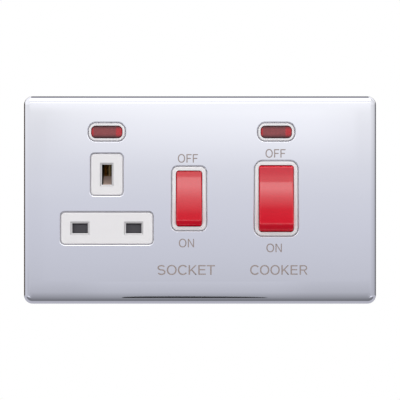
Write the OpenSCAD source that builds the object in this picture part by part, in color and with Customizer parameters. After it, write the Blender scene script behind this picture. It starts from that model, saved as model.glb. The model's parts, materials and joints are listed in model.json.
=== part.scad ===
// A cooker control unit: a double wall plate that carries a 13 A socket with its own switch,
// a double-pole cooker switch and a neon light over each of the two.
// Seen from the front, x runs to the right, z runs up and y runs back into the wall.
// The origin is on the wall, midway between the two fixing holes.

/* [Front plate] */
// Width of the plate
plate_w = 146; // [145:0.5:150]
// Height of the plate
plate_h = 86; // [85:0.5:89]
// Corner radius of the plate, seen from the front
plate_r = 3.6; // [3.2:0.1:6]
// Height of the plate's face above the wall
plate_d = 5; // [4.8:0.1:5.6]
// Thickness of the pressed steel sheet
sheet_t = 1; // [0.8:0.05:1.1]
// Outer radius of the rolled edge
edge_r = 2.4; // [2:0.1:2.8]
// Gap between the rolled edge and the wall
wall_gap = 0.3; // [0.2:0.05:0.6]
// Seam that shows all round each white face in its opening
seam = 0.5; // [0.35:0.05:0.6]
// Distance between the two fixing holes
fixing_pitch = 120.6; // [120:0.1:121]

/* [Openings in the plate] */
// Middle of the socket, from the plate's middle
socket_x = -38.5; // [-39:0.1:-38]
// Middle of the socket's own switch
socket_switch_x = -4.5; // [-5:0.1:-4]
// Middle of the cooker switch
cooker_switch_x = 31.5; // [31:0.1:32]
// Height of the middle of both switches
switch_z = 0.6; // [0:0.1:1]
// Height of the middle of both neon lights
neon_z = 28.1; // [27.8:0.1:28.6]
// Height of the middle of the earth hole
earth_z = 10.5; // [10.2:0.1:10.8]
// Width of the opening round the earth hole
earth_open_w = 14; // [13:0.1:15]
// Height of the opening round the earth hole
earth_open_h = 17.9; // [17:0.1:18.4]
// Corner radius of the opening round the earth hole
earth_open_r = 2; // [1.4:0.1:3]
// Width of the opening round the live and neutral holes
pins_open_w = 38.8; // [38:0.1:40]
// Height of the opening round the live and neutral holes
pins_open_h = 13.9; // [13:0.1:14.6]
// Corner radius of the opening round the live and neutral holes
pins_open_r = 2.1; // [1.4:0.1:3]
// Width of the opening of the socket's switch
socket_switch_open_w = 14.9; // [14.5:0.1:15.4]
// Height of the opening of the socket's switch
socket_switch_open_h = 27.1; // [26.5:0.1:28]
// Corner radius of the opening of the socket's switch
socket_switch_open_r = 2.8; // [2:0.1:3.4]
// Width of the opening of the cooker switch
cooker_switch_open_w = 18.5; // [18:0.1:19]
// Height of the opening of the cooker switch
cooker_switch_open_h = 31.6; // [31:0.1:32.4]
// Corner radius of the opening of the cooker switch
cooker_switch_open_r = 3.6; // [2.6:0.1:4.2]
// Width of a neon light's opening
neon_open_w = 15.8; // [15:0.1:16]
// Height of a neon light's opening
neon_open_h = 8.1; // [7.8:0.1:8.4]
// Corner radius of a neon light's opening
neon_open_r = 3.4; // [2.6:0.1:3.7]

/* [White moulding] */
// Thickness of the moulding's front wall
tray_t = 2; // [1.8:0.1:2.2]
// Thickness of the rim that rests on the wall
rim_t = 2.2; // [1.8:0.1:3]
// Gap between the moulding and the plate's rolled edge
tray_gap = 0.4; // [0.3:0.05:0.6]
// Gap between the moulding and the back of the sheet
plate_seat = 0.15; // [0.1:0.05:0.2]
// How far the switch surrounds and neon rings stand proud of the plate
surround_proud = 0.3; // [0.1:0.05:0.5]
// Width of the surround between the seam and the rocker's window
surround_t = 1.45; // [1.3:0.05:1.6]
// Width of the white ring round a neon lens
neon_ring = 1; // [0.8:0.05:1.2]
// Rounding of the front edges of the white faces
face_edge_r = 0.35; // [0.2:0.05:0.5]
// Radius of a fixing hole
fixing_hole_r = 2.1; // [1.9:0.05:2.3]
// Radius of the recess for a fixing screw's head
fixing_head_r = 4.1; // [3.8:0.1:4.6]
// Thickness of plastic under a fixing screw's head
fixing_seat_t = 1.6; // [1.2:0.1:1.8]

/* [Rockers] */
// Depth of the rockers' pivot behind the front of the surround
pivot_depth = 6.2; // [6:0.1:6.4]
// Angle by which a rocker leans either way
throw_a = 8; // [7:0.5:8]
// Angle from the upright to the tip of a rocker's face, seen from its pivot
tip_a = 36; // [35:0.5:37]
// Depth of the hollow in the face of the socket's rocker
socket_dish = 0.6; // [0.5:0.1:1.2]
// Depth of the hollow in the face of the cooker's rocker
cooker_dish = 1.1; // [0.8:0.1:1.4]
// Wall thickness of a rocker
rocker_t = 1.3; // [1.1:0.1:1.5]
// Rounding of a rocker's ends, seen from the front
rocker_corner_r = 1; // [0.6:0.1:1.2]
// Clearance between a rocker's round end and its well
rocker_gap = 0.4; // [0.3:0.05:0.5]
// Clearance at each side of a rocker
rocker_side_gap = 0.3; // [0.2:0.05:0.4]
// Radius of the stub pins that a rocker turns on
trunnion_r = 1.5; // [1.3:0.1:1.7]
// Running clearance of the stub pins in their bearings
trunnion_gap = 0.05; // [0.03:0.01:0.08]
// Radius of the tube that guides a plunger
stem_r = 2.2; // [2.1:0.05:2.3]

/* [Switch gear] */
// Distance from the rocker's pivot to the plunger's tip
plunger_l = 12; // [11.6:0.1:12.2]
// Radius of a plunger
plunger_r = 1.25; // [1.1:0.05:1.3]
// Clearance of a plunger in its tube
plunger_gap = 0.1; // [0.05:0.01:0.15]
// Angle by which a contact arm leans either way
arm_a = 8; // [7.5:0.5:8.5]
// Thickness of a contact arm
arm_t = 1.2; // [1:0.1:1.3]
// Width of a contact arm
arm_w = 4.6; // [4.2:0.1:4.8]
// Length of a contact arm above its pivot
arm_up = 9.6; // [9.4:0.1:10]
// Length of a contact arm below its pivot
arm_down = 8; // [7.5:0.1:8.5]
// Radius of a silver contact
tip_r = 1.3; // [1.1:0.1:1.5]
// Thickness of a silver contact
tip_t = 0.8; // [0.6:0.1:0.9]
// Thickness of the brass strips
strip_t = 1.2; // [1:0.05:1.3]
// Width of the brass strips
strip_w = 5; // [4.4:0.1:5.2]

/* [Socket] */
// Distance from live to neutral, and from their line up to the earth hole
pin_pitch = 22.2; // [22.1:0.05:22.3]
// Width of the earth hole
earth_hole_w = 4.6; // [4.5:0.05:4.8]
// Height of the earth hole
earth_hole_h = 8.8; // [8.6:0.1:9]
// Width of the live and neutral holes
pin_hole_w = 6.95; // [6.8:0.05:7.1]
// Height of the live and neutral holes
pin_hole_h = 4.6; // [4.4:0.1:4.8]
// Width of the slope that leads a pin into its hole
pin_lead = 0.2; // [0.1:0.05:0.3]
// Gap between the leaves of a pin contact
clip_gap = 3.7; // [3.5:0.05:3.9]
// Thickness of a pin contact's leaves
clip_t = 0.9; // [0.7:0.05:1]
// Width of the live and neutral contacts
clip_w = 6; // [5.6:0.1:6.2]
// Height of the earth contact
earth_clip_h = 9; // [8:0.1:9.2]
// Travel of the shutter
shutter_travel = 5.4; // [5.3:0.05:5.6]
// Thickness of the shutter
shutter_t = 1.8; // [1.6:0.1:1.9]

/* [Terminals] */
// Width of a cable terminal
terminal_w = 9; // [8.6:0.1:9.2]
// Depth of a cable terminal
terminal_d = 11; // [10.5:0.1:11]
// Height of a cable terminal
terminal_h = 11; // [10:0.1:11.2]
// Radius of a terminal's cable hole
cable_r = 2.9; // [2.6:0.1:3]
// Radius of a terminal screw
terminal_screw_r = 2.1; // [1.9:0.1:2.3]
// Distance of the cable terminals from the middle of the cooker switch
terminal_x = 8.2; // [8.1:0.05:8.3]

/* [Neon lights] */
// Radius of a neon lamp's glass
lamp_r = 1.9; // [1.7:0.1:2]
// Length of a neon lamp's glass
lamp_l = 9; // [8:0.1:9.4]
// Radius of a resistor
resistor_r = 1.1; // [0.9:0.1:1.2]
// Length of a resistor
resistor_l = 6.4; // [5.8:0.1:6.8]
// Radius of the lamps' tinned wires
wire_r = 0.3; // [0.2:0.05:0.35]

/* [Rear housings] */
// Wall thickness of the housings
base_t = 1.6; // [1.4:0.1:1.8]
// Thickness of the ribs inside the housings
rib_t = 1.2; // [1:0.1:1.3]
// Height of the housings
base_h = 64; // [63.5:0.5:65]
// Depth of the socket's housing behind the wall
socket_base_d = 24; // [23.8:0.1:25]
// Depth of the cooker switch's housing behind the wall
switch_base_d = 27; // [26.8:0.1:28]
// Half the width of the cooker switch's housing
switch_base_half = 20.4; // [20.2:0.1:20.8]

/* [Hidden] */
$fn = 48;

// How far a cut runs past the face it cuts
over = 0.5;
// Clearance between a fixed piece and its seat
seat_gap = 0.1;
// Clearance round a piece in a slot
slot_gap = 0.2;

// Levels of the plate and the moulding, from the front to the wall
face_y = -plate_d;
sheet_back_y = face_y + sheet_t;
tray_front_y = sheet_back_y + plate_seat;
tray_back_y = tray_front_y + tray_t;
surround_y = face_y - surround_proud;
pivot_y = surround_y + pivot_depth;

// The moulding's outline inside the plate
tray_w = plate_w - 2 * (sheet_t + tray_gap);
tray_h = plate_h - 2 * (sheet_t + tray_gap);
tray_r = plate_r - sheet_t - tray_gap;
tray_step_w = 1.5;
tray_step_t = 1;
rim_inner_r = 1;
bump_r = 0.8;
bump_proud = 0.25;
bump_l = 8;
bump_x_share = 0.32;

// The six openings, each as its middle, width, height and corner radius
EARTH_OPEN = [socket_x, earth_z, earth_open_w, earth_open_h, earth_open_r];
pin_z = earth_z - pin_pitch;
PINS_OPEN = [socket_x, pin_z, pins_open_w, pins_open_h, pins_open_r];
SOCKET_SWITCH_OPEN = [
    socket_switch_x, switch_z, socket_switch_open_w, socket_switch_open_h, socket_switch_open_r,
];
COOKER_SWITCH_OPEN = [
    cooker_switch_x, switch_z, cooker_switch_open_w, cooker_switch_open_h, cooker_switch_open_r,
];
SOCKET_NEON_OPEN = [socket_x, neon_z, neon_open_w, neon_open_h, neon_open_r];
COOKER_NEON_OPEN = [cooker_switch_x, neon_z, neon_open_w, neon_open_h, neon_open_r];
SWITCH_OPENS = [SOCKET_SWITCH_OPEN, COOKER_SWITCH_OPEN];
NEON_OPENS = [SOCKET_NEON_OPEN, COOKER_NEON_OPEN];
FLUSH_OPENS = [EARTH_OPEN, PINS_OPEN];

// Where the pins go in
neutral_x = socket_x - pin_pitch / 2;
live_x = socket_x + pin_pitch / 2;

// The rockers and their wells
function window_w(o) = o[2] - 2 * (seam + surround_t);
function window_h(o) = o[3] - 2 * (seam + surround_t);
function rocker_w(o) = window_w(o) - 2 * rocker_side_gap;
function well_r(o) = sqrt(pow(window_h(o) / 2, 2) + pow(pivot_depth, 2));
function drum_r(o) = well_r(o) - rocker_gap;
stem_side = 0.2;
pole_x = rocker_w(COOKER_SWITCH_OPEN) / 2 - stem_side - stem_r;
well_t = 2.2;
well_end_t = 1.4;
bearing_t = 1.65;
well_back_y = pivot_y + trunnion_r + bearing_t;
rocker_back = 2.1;
hollow_corner_r = 0.4;
trunnion_l = rocker_side_gap + well_t - seat_gap;
bore_r = plunger_r + plunger_gap;
bore_front = -2.4;
stem_l = 8.2;
plunger_back = 2.6;
plunger_spring_wire_r = 0.2;
plunger_spring_turns = 7;
plunger_spring_r = bore_r - plunger_gap - plunger_spring_wire_r;

// The contact arms, measured from the ridge that each one rocks on
ridge_r = 0.5;
arm_back = ridge_r + seat_gap;
arm_front = arm_back + arm_t;
mid_gap = 0.07;
arm_y = pivot_y + plunger_l + arm_front + mid_gap;
arm_tip_z = 8;
cheek_t = 0.8;
cheek_h = 3.2;
cheek_d = 1.2;
contact_gap = 0.3;
fixed_front_y = arm_y + (tip_t - arm_back) * cos(arm_a) + arm_tip_z * sin(arm_a) + contact_gap;
fixed_tip_z = switch_z + arm_tip_z * cos(arm_a);
strap_front_y = fixed_front_y + tip_t;
strap_back_y = strap_front_y + strip_t;
cradle_w = arm_w - 2 * cheek_t - 2 * slot_gap;
cradle_d = 5.9;
cradle_back_y = arm_y + cradle_d;
cradle_front_y = cradle_back_y - strip_t;
neutral_pole_x = cooker_switch_x - pole_x;
live_pole_x = cooker_switch_x + pole_x;

// The cable terminals of the supply below and the cooker above
neutral_terminal_x = cooker_switch_x - terminal_x;
live_terminal_x = cooker_switch_x + terminal_x;
terminal_front_y = 12;
terminal_back_y = terminal_front_y + terminal_d;
terminal_in_z = 18;
terminal_wall = 1.3;
cable_y = terminal_front_y + terminal_wall + cable_r;
screw_gap = 0.05;
screw_tip_y = cable_y + cable_r + slot_gap;
screw_head_r = 3.4;
screw_head_t = 2.2;
screw_slot_w = 1;
screw_slot_d = 1.1;

// The busbars that join the two halves
bar_w = 4;
neutral_bar_back_y = terminal_front_y - seat_gap;
neutral_bar_front_y = neutral_bar_back_y - strip_t;
neutral_bar_top = -19.5;
neutral_bar_bottom = neutral_bar_top - bar_w;
live_bar_top = -16;
live_bar_bottom = live_bar_top - strip_t;
live_bar_front_y = 14;
live_bar_back_y = live_bar_front_y + bar_w;

// The pin contacts
earth_strip_back_y = socket_base_d - screw_head_t - 2 * seat_gap;
earth_strip_front_y = earth_strip_back_y - strip_t;
clip_front_y = 2;
clip_back_y = earth_strip_front_y - screw_gap;
clip_lip_l = 3;
clip_flare = 0.8;
clip_half = clip_gap / 2 + clip_t;
pocket_half = clip_half + clip_flare + slot_gap;

// The shutter and its spring
shutter_front_y = tray_back_y + slot_gap;
shutter_back_y = shutter_front_y + shutter_t;
wing_half_h = 3;
wing_slope = 1.5;
wing_lap = 0.9;
wing_reach = pin_pitch / 2 + pin_hole_w / 2 + wing_lap;
spine_half_w = 4.6;
ramp_half_w = clip_gap / 2 - seat_gap;
ramp_foot_drop = 5;
ramp_foot_z = earth_z - ramp_foot_drop;
ramp_top_z = earth_z - over;
ramp_back_y = 3.6;
foot_top_z = pin_z - wing_half_h;
foot_t = 1.6;
foot_bottom_z = foot_top_z - foot_t;
foot_half_w = 3;
spring_y = 1.2;
spring_r = 1.6;
spring_wire_r = 0.25;
spring_turns = 8;
peg_r = 1.1;
peg_l = 1.8;
shelf_z = -27.6;
shelf_t = 1.4;
shelf_edge = 1;
rail_t = 1;

// The earth strip and the plate's earthing spring
earth_strip_w = 6;
earth_strip_top = 22.5;
earth_strip_bottom = earth_strip_top - earth_strip_w;
earth_block_x0 = -14;
earth_block_w = 15.6;
earth_block_bottom = 14;
earth_block_d = 10;
earth_cable_r = 2.4;
earth_spring_x = -18;
earth_spring_w = 3.4;
earth_spring_t = 0.4;
earth_spring_z = 21.5;
earth_spring_tip = 3;

// The neon lamps in their chambers
lens_gap = 0.1;
lens_flange = 0.9;
lens_flange_t = 0.9;
lens_recess = 0.2;
lens_edge_r = 0.6;
chamber_half_w = 8.2;
chamber_half_h = 3.6;
chamber_back_y = 6;
lamp_y = 2;
lead_pitch = 1.6;
saddle_x = 2.6;
saddle_t = 1;
lead_back_y = 8.5;
lead_inset = 0.65;
live_lead_x = live_x - clip_w / 2 + lead_inset;
neutral_lead_x = neutral_x + clip_w / 2 - lead_inset;
clip_top_z = pin_z + clip_half + screw_gap;
resistor_waist_share = 0.85;
resistor_z = 19;
cooker_resistor_x = cooker_switch_x - lead_inset;

// The housings, the posts that they are screwed down by and the holes in them
base_front_y = tray_back_y + slot_gap;
socket_back_y = socket_base_d;
switch_back_y = switch_base_d;
socket_base_x0 = -57;
socket_base_x1 = 6.5;
base_corner_r = 2.5;
lug_notch_d = 3.2;
lug_notch_half = 6.2;
pocket_clear = 0.3;
pocket_front_y = shutter_back_y + pocket_clear;
boss_r = 2.5;
boss_back_y = 6;
pilot_r = 1.3;
post_r = 3.5;
post_floor_t = 2;
post_well_r = 2.8;
post_hole_r = 1.6;
screw_shank_r = 1.25;
screw_pan_r = 2.5;
screw_pan_t = 1.7;
screw_tip_clear = 0.6;
cross_l = 2.6;
cross_w = 0.7;
cross_d = 1;
post_side = 0.3;
post_inset = post_r + post_side;
post_end = 1;
post_z = base_h / 2 - post_r - post_end;
top_post_x = -24;
SOCKET_POSTS = [
    [socket_base_x0 + post_inset, post_z], [top_post_x, post_z],
    [socket_base_x0 + post_inset, -post_z], [socket_base_x1 - post_inset, -post_z],
];
switch_post_x = switch_base_half - post_inset;
SWITCH_POSTS = [for (sx = [-1, 1], sz = [-1, 1]) [cooker_switch_x + sx * switch_post_x, sz * post_z]];
entry_clear = 1;
access_clear = 0.4;
access_r = screw_head_r + access_clear;
bay_clear = 2;
bay_half = arm_w / 2 + bay_clear;
bay_bottom = -13;
bay_top = 13;
bay_front_y = 9;
stop_half = cradle_w / 2 + slot_gap;

// Outlines drawn from the front become slabs between two levels
module slab(y0, y1) {
    translate([0, y1, 0]) rotate([90, 0, 0]) linear_extrude(height = y1 - y0) children();
}

// Sections drawn in depth and height become bars along x
module bar_x(x0, x1) {
    translate([x0, 0, 0]) rotate([90, 0, 90]) linear_extrude(height = x1 - x0) children();
}

// Sections drawn in plan become bars along z
module bar_z(z0, z1) {
    translate([0, 0, z0]) linear_extrude(height = z1 - z0) children();
}

module rod_x(r, x0, x1) {
    translate([x0, 0, 0]) rotate([0, 90, 0]) cylinder(r = r, h = x1 - x0);
}

module rod_y(r, y0, y1) {
    translate([0, y1, 0]) rotate([90, 0, 0]) cylinder(r = r, h = y1 - y0);
}

module rod_z(r, z0, z1) {
    translate([0, 0, z0]) cylinder(r = r, h = z1 - z0);
}

module box(x0, x1, y0, y1, z0, z1) {
    translate([x0, y0, z0]) cube([x1 - x0, y1 - y0, z1 - z0]);
}

module area(a0, a1, b0, b1) {
    translate([a0, b0]) square([a1 - a0, b1 - b0]);
}

// A rectangle with round corners
module rounded(w, h, r) {
    square([w, h - 2 * r], center = true);
    square([w - 2 * r, h], center = true);
    for (sx = [-1, 1], sy = [-1, 1]) translate([sx * (w / 2 - r), sy * (h / 2 - r)]) circle(r = r);
}

// One of the plate's openings, drawn smaller by an inset all round
module opening(o, inset) {
    translate([o[0], o[1]]) rounded(o[2] - 2 * inset, o[3] - 2 * inset, o[4] - inset);
}

// Carries a section round a rectangle with round corners: the section's first coordinate
// runs outwards from the outline and its second is the height above the wall
module rim_sweep(w, h, r) {
    rotate([90, 0, 0]) for (mx = [0, 1]) mirror([mx, 0, 0]) {
        translate([w / 2, 0, 0]) rotate([90, 0, 0])
            linear_extrude(height = h - 2 * r, center = true) children();
        for (my = [0, 1]) mirror([0, my, 0]) translate([w / 2 - r, h / 2 - r, 0])
            rotate_extrude(angle = 90) translate([r, 0]) children();
    }
    rotate([90, 0, 0]) for (my = [0, 1]) mirror([0, my, 0]) rotate([0, 0, 90])
        translate([h / 2, 0, 0]) rotate([90, 0, 0])
            linear_extrude(height = w - 2 * r, center = true) children();
}

// A drum across the pivot with rounded shoulders, which shapes a rocker's ends and its well
module drum(w, r, c) {
    rotate([0, 90, 0]) rotate_extrude() {
        area(0, r - c, -w / 2, w / 2);
        area(0, r, c - w / 2, w / 2 - c);
        for (s = [-1, 1]) translate([r - c, s * (w / 2 - c)]) circle(r = c);
    }
}

// A pin with a round end, along +y from the origin
module round_pin(r, l) {
    rotate([-90, 0, 0]) rotate_extrude() {
        square([r, l - r]);
        intersection() {
            translate([0, l - r]) circle(r = r);
            square([r, l]);
        }
    }
}

// A round wire carried along a chain of points, with mitred bends
wire_sides = 8;
function unit(v) = v / norm(v);
function side_of(d) = unit(cross(d, abs(d[2]) < 0.9 ? [0, 0, 1] : [1, 0, 0]));
function first_ring(p, d, r, n) =
    let (u = side_of(d), v = cross(d, u))
    [for (k = [0 : n - 1]) p + r * (cos(360 * k / n) * u + sin(360 * k / n) * v)];
function slide_ring(ring, p, d, normal) = [for (q = ring) q + d * (((p - q) * normal) / (d * normal))];
module wire(points, r, n = wire_sides) {
    last = len(points) - 1;
    ways = [for (i = [0 : last - 1]) unit(points[i + 1] - points[i])];
    normals = [for (i = [0 : last - 1]) i + 1 < last ? ways[i] + ways[i + 1] : ways[i]];
    rings = [
        for (i = 0, ring = first_ring(points[0], ways[0], r, n); i <= last;
             ring = i < last ? slide_ring(ring, points[i + 1], ways[i], normals[i]) : ring, i = i + 1) ring
    ];
    tube(rings, n);
}

// Joins rings of n points each into a closed tube
module tube(rings, n) {
    last = len(rings) - 1;
    function at(i, k) = i * n + k % n;
    polyhedron(
        points = [for (ring = rings, q = ring) q],
        faces = [
            [for (k = [0 : n - 1]) k],
            [for (k = [n - 1 : -1 : 0]) at(last, k)],
            for (i = [0 : last - 1], k = [0 : n - 1]) [at(i, k), at(i + 1, k), at(i + 1, k + 1)],
            for (i = [0 : last - 1], k = [0 : n - 1]) [at(i, k), at(i + 1, k + 1), at(i, k + 1)],
        ]
    );
}

// A coil spring along +z with closed ends
coil_sides = 6;
coil_steps = 12;
closed_pitch_share = 1.15;
module coil(r, wire_radius, l, turns) {
    steps = turns * coil_steps;
    closed = closed_pitch_share * 2 * wire_radius;
    open_pitch = (l - 2 * wire_radius - 2 * closed) / (turns - 2);
    rings = [
        for (i = [0 : steps])
            let (t = i / coil_steps, a = 360 * t)
            let (low = min(t, 1) * closed, high = max(t - turns + 1, 0) * closed)
            let (z = wire_radius + low + high + open_pitch * min(max(t - 1, 0), turns - 2))
            [for (k = [0 : coil_sides - 1])
                let (b = 360 * k / coil_sides, q = r + wire_radius * cos(b))
                [q * cos(a), q * sin(a), z + wire_radius * sin(b)]]
    ];
    tube(rings, coil_sides);
}

// Places what belongs to a rocker at its pivot, leaning to off
module at_rocker(x) {
    translate([x, pivot_y, switch_z]) rotate([-throw_a, 0, 0]) children();
}

// Places what belongs to a contact arm at its ridge, leaning to off
module at_arm(x) {
    translate([x, arm_y, switch_z]) rotate([arm_a, 0, 0]) children();
}

// A raised face in one of the openings, from front_y back, with its front edge rounded
module soft_face(o, inset, front_y, back_y, edge) {
    w = o[2] - 2 * inset;
    h = o[3] - 2 * inset;
    r = o[4] - inset;
    slab(front_y + edge, back_y) opening(o, inset);
    slab(front_y, front_y + edge) opening(o, inset + edge);
    translate([o[0], 0, o[1]]) rim_sweep(w, h, r) intersection() {
        translate([-edge, -front_y - edge]) circle(r = edge);
        area(-edge, 0, -front_y - edge, -front_y);
    }
}

// Front plate: a sheet with a rolled edge and six openings
module plate_edge_section() {
    shoulder = plate_d - edge_r;
    difference() {
        union() {
            area(-edge_r, 0, wall_gap, shoulder);
            intersection() {
                translate([-edge_r, shoulder]) circle(r = edge_r);
                area(-edge_r, 0, shoulder, plate_d);
            }
        }
        area(-edge_r - over, -sheet_t, wall_gap - over, shoulder);
        translate([-edge_r, shoulder]) circle(r = edge_r - sheet_t);
    }
}

module front_plate() {
    color("silver") {
        rim_sweep(plate_w, plate_h, plate_r) plate_edge_section();
        slab(face_y, sheet_back_y) difference() {
            rounded(plate_w - 2 * edge_r, plate_h - 2 * edge_r, plate_r - edge_r);
            for (o = concat(FLUSH_OPENS, SWITCH_OPENS, NEON_OPENS)) opening(o, 0);
        }
    }
}

// White moulding: the tray behind the plate, the faces that come up through the openings,
// the rockers' wells and bearings, and the neon lamps' chambers
module well_block(o) {
    translate([o[0], o[1]])
        rounded(window_w(o) + 2 * well_t, 2 * (well_r(o) + well_end_t), well_end_t);
}

module well_void(o) {
    translate([o[0], pivot_y, o[1]]) {
        drum(window_w(o), well_r(o), rocker_corner_r + rocker_side_gap);
        box(-window_w(o) / 2, window_w(o) / 2, 0, well_back_y - pivot_y + over, -well_r(o), well_r(o));
        rod_x(trunnion_r + trunnion_gap, -window_w(o) / 2 - well_t - over, window_w(o) / 2 + well_t + over);
    }
}

module chamber(o) {
    translate([o[0], 0, o[1]]) {
        slab(tray_back_y - over, chamber_back_y) difference() {
            rounded(2 * (chamber_half_w + rib_t), 2 * (chamber_half_h + rib_t), rib_t);
            square([2 * chamber_half_w, 2 * chamber_half_h], center = true);
        }
        saddle_top = -lamp_r - seat_gap;
        for (s = [-1, 1]) box(s * saddle_x - saddle_t / 2, s * saddle_x + saddle_t / 2,
                lamp_y - lamp_r, chamber_back_y - over, -chamber_half_h - over, saddle_top);
    }
}

module lens_hole(o) {
    slab(surround_y - over, tray_back_y + over) opening(o, seam + neon_ring - lens_gap);
}

module moulding_posts() {
    for (p = concat(SOCKET_POSTS, SWITCH_POSTS)) translate([p[0], 0, p[1]])
        rod_y(boss_r, tray_back_y - over, boss_back_y);
}

module moulding_pilots() {
    for (p = concat(SOCKET_POSTS, SWITCH_POSTS)) translate([p[0], 0, p[1]])
        rod_y(pilot_r, tray_back_y, boss_back_y + over);
}

module shutter_rails() {
    for (s = [-1, 1]) {
        inner = socket_x + s * (wing_reach + slot_gap);
        outer = inner + s * rail_t;
        box(min(inner, outer), max(inner, outer), tray_back_y - over, shutter_back_y,
            foot_top_z - shutter_travel - slot_gap, pin_z + wing_half_h);
    }
    box(socket_x - foot_half_w, socket_x + foot_half_w,
        tray_back_y - over, spring_y + spring_r + shelf_edge, shelf_z - shelf_t, shelf_z);
}

// A pin's hole through the front wall: its mouth slopes in all round to a straight throat
module pin_hole(w, h) {
    f = face_y;
    b = tray_back_y + over;
    box(pin_lead - w / 2, w / 2 - pin_lead, f - over, b, pin_lead - h / 2, h / 2 - pin_lead);
    intersection() {
        bar_z(-h, h) polygon([
            [-w / 2, f], [-w / 2, f - over], [w / 2, f - over], [w / 2, f],
            [w / 2 - pin_lead, f + pin_lead], [pin_lead - w / 2, f + pin_lead],
        ]);
        bar_x(-w, w) polygon([
            [f, -h / 2], [f - over, -h / 2], [f - over, h / 2], [f, h / 2],
            [f + pin_lead, h / 2 - pin_lead], [f + pin_lead, pin_lead - h / 2],
        ]);
    }
}

module front_moulding() {
    color("white") difference() {
        union() {
            slab(tray_front_y, tray_front_y + tray_step_t)
                rounded(tray_w - 2 * tray_step_w, tray_h - 2 * tray_step_w, tray_r);
            slab(tray_front_y + tray_step_t, tray_back_y) rounded(tray_w, tray_h, tray_r);
            slab(tray_back_y - over, 0) difference() {
                rounded(tray_w, tray_h, tray_r);
                rounded(tray_w - 2 * rim_t, tray_h - 2 * rim_t, rim_inner_r);
            }
            for (o = FLUSH_OPENS) soft_face(o, seam, face_y, tray_back_y, face_edge_r);
            for (o = concat(SWITCH_OPENS, NEON_OPENS))
                soft_face(o, seam, surround_y, tray_back_y, face_edge_r);
            for (o = SWITCH_OPENS) slab(tray_back_y - over, well_back_y) well_block(o);
            for (o = NEON_OPENS) chamber(o);
            for (s = [-1, 1]) translate([s * fixing_pitch / 2, 0, 0])
                rod_y(fixing_head_r + well_t, tray_back_y - over, 0);
            bump_z = tray_h / 2 - bump_r + bump_proud;
            for (sx = [-1, 1], sz = [-1, 1])
                translate([sx * bump_x_share * plate_w, -bump_r - over, sz * bump_z])
                    rod_x(bump_r, -bump_l / 2, bump_l / 2);
            moulding_posts();
            shutter_rails();
        }
        for (o = SWITCH_OPENS) well_void(o);
        for (o = NEON_OPENS) lens_hole(o);
        for (s = [-1, 1]) translate([s * fixing_pitch / 2, 0, 0]) {
            rod_y(fixing_hole_r, tray_front_y - over, over);
            rod_y(fixing_head_r, tray_front_y - over, -fixing_seat_t);
        }
        translate([socket_x, 0, earth_z]) pin_hole(earth_hole_w, earth_hole_h);
        for (x = [neutral_x, live_x]) translate([x, 0, pin_z]) pin_hole(pin_hole_w, pin_hole_h);
        moulding_pilots();
        spring_half = earth_spring_w / 2 + slot_gap;
        spring_top = earth_spring_t / 2 + slot_gap;
        translate([earth_spring_x, 0, earth_spring_z]) {
            box(-spring_half, spring_half, tray_front_y - over, tray_back_y + over,
                -spring_top, spring_top);
            box(-spring_half, spring_half, tray_front_y - over, tray_front_y + tray_t / 2,
                -earth_spring_tip - slot_gap, spring_top);
        }
    }
}

// Rockers: hollow shells whose ends are turned about the pivot, with a dished face,
// stub pins at the sides and one guide tube for each plunger
module rocker(o, stems, dish) {
    w = rocker_w(o);
    r = drum_r(o);
    dish_back = dish - r * sin(tip_a);
    dish_r = (pow(r * cos(tip_a), 2) + pow(dish, 2)) / (2 * dish);
    difference() {
        union() {
            difference() {
                drum(w, r, rocker_corner_r);
                translate([0, dish_back - dish_r, 0]) rod_x(dish_r, -w, w);
                box(-w, w, rocker_back, r + over, -r - over, r + over);
                difference() {
                    drum(w - 2 * rocker_t, r - rocker_t, hollow_corner_r);
                    translate([0, dish_back - dish_r, 0]) rod_x(dish_r + rocker_t, -w, w);
                }
            }
            rod_x(trunnion_r, w / 2 - rocker_t / 2, w / 2 + trunnion_l);
            rod_x(trunnion_r, -w / 2 - trunnion_l, rocker_t / 2 - w / 2);
            for (x = stems) translate([x, 0, 0]) rod_y(stem_r, dish_back + rocker_t / 2, stem_l);
        }
        for (x = stems) translate([x, 0, 0]) rod_y(bore_r, bore_front, stem_l + over);
    }
}

module plunger() {
    translate([0, plunger_back, 0]) round_pin(plunger_r, plunger_l - plunger_back);
}

module plunger_spring() {
    translate([0, bore_front + seat_gap, 0]) rotate([-90, 0, 0])
        coil(plunger_spring_r, plunger_spring_wire_r, plunger_back - bore_front - 2 * seat_gap,
            plunger_spring_turns);
}

module socket_rocker() {
    color("crimson") at_rocker(socket_switch_x) rocker(SOCKET_SWITCH_OPEN, [0], socket_dish);
}

module socket_plunger() {
    color("whitesmoke") at_rocker(socket_switch_x) plunger();
}

module socket_plunger_spring() {
    color("silver") at_rocker(socket_switch_x) plunger_spring();
}

module cooker_rocker() {
    color("crimson") at_rocker(cooker_switch_x)
        rocker(COOKER_SWITCH_OPEN, [-pole_x, pole_x], cooker_dish);
}

module cooker_plungers() {
    color("whitesmoke") for (x = [neutral_pole_x, live_pole_x]) at_rocker(x) plunger();
}

module cooker_plunger_springs() {
    color("silver") for (x = [neutral_pole_x, live_pole_x]) at_rocker(x) plunger_spring();
}

// Contact arms: flat strips that see-saw on a ridge, with two cheeks that straddle it
module contact_arm() {
    difference() {
        union() {
            box(-arm_w / 2, arm_w / 2, -arm_front, -arm_back, -arm_down, arm_up);
            for (s = [0, 1]) mirror([s, 0, 0])
                box(arm_w / 2 - cheek_t, arm_w / 2, -arm_front, cheek_d, -cheek_h / 2, cheek_h / 2);
        }
        translate([0, 0, arm_tip_z]) rod_y(tip_r / 2, -arm_front - over, -arm_back + over);
    }
}

module arm_tip() {
    translate([0, 0, arm_tip_z]) {
        rod_y(tip_r, -arm_back, tip_t - arm_back);
        rod_y(tip_r / 2 - screw_gap, -arm_front, -arm_back + screw_gap);
    }
}

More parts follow.
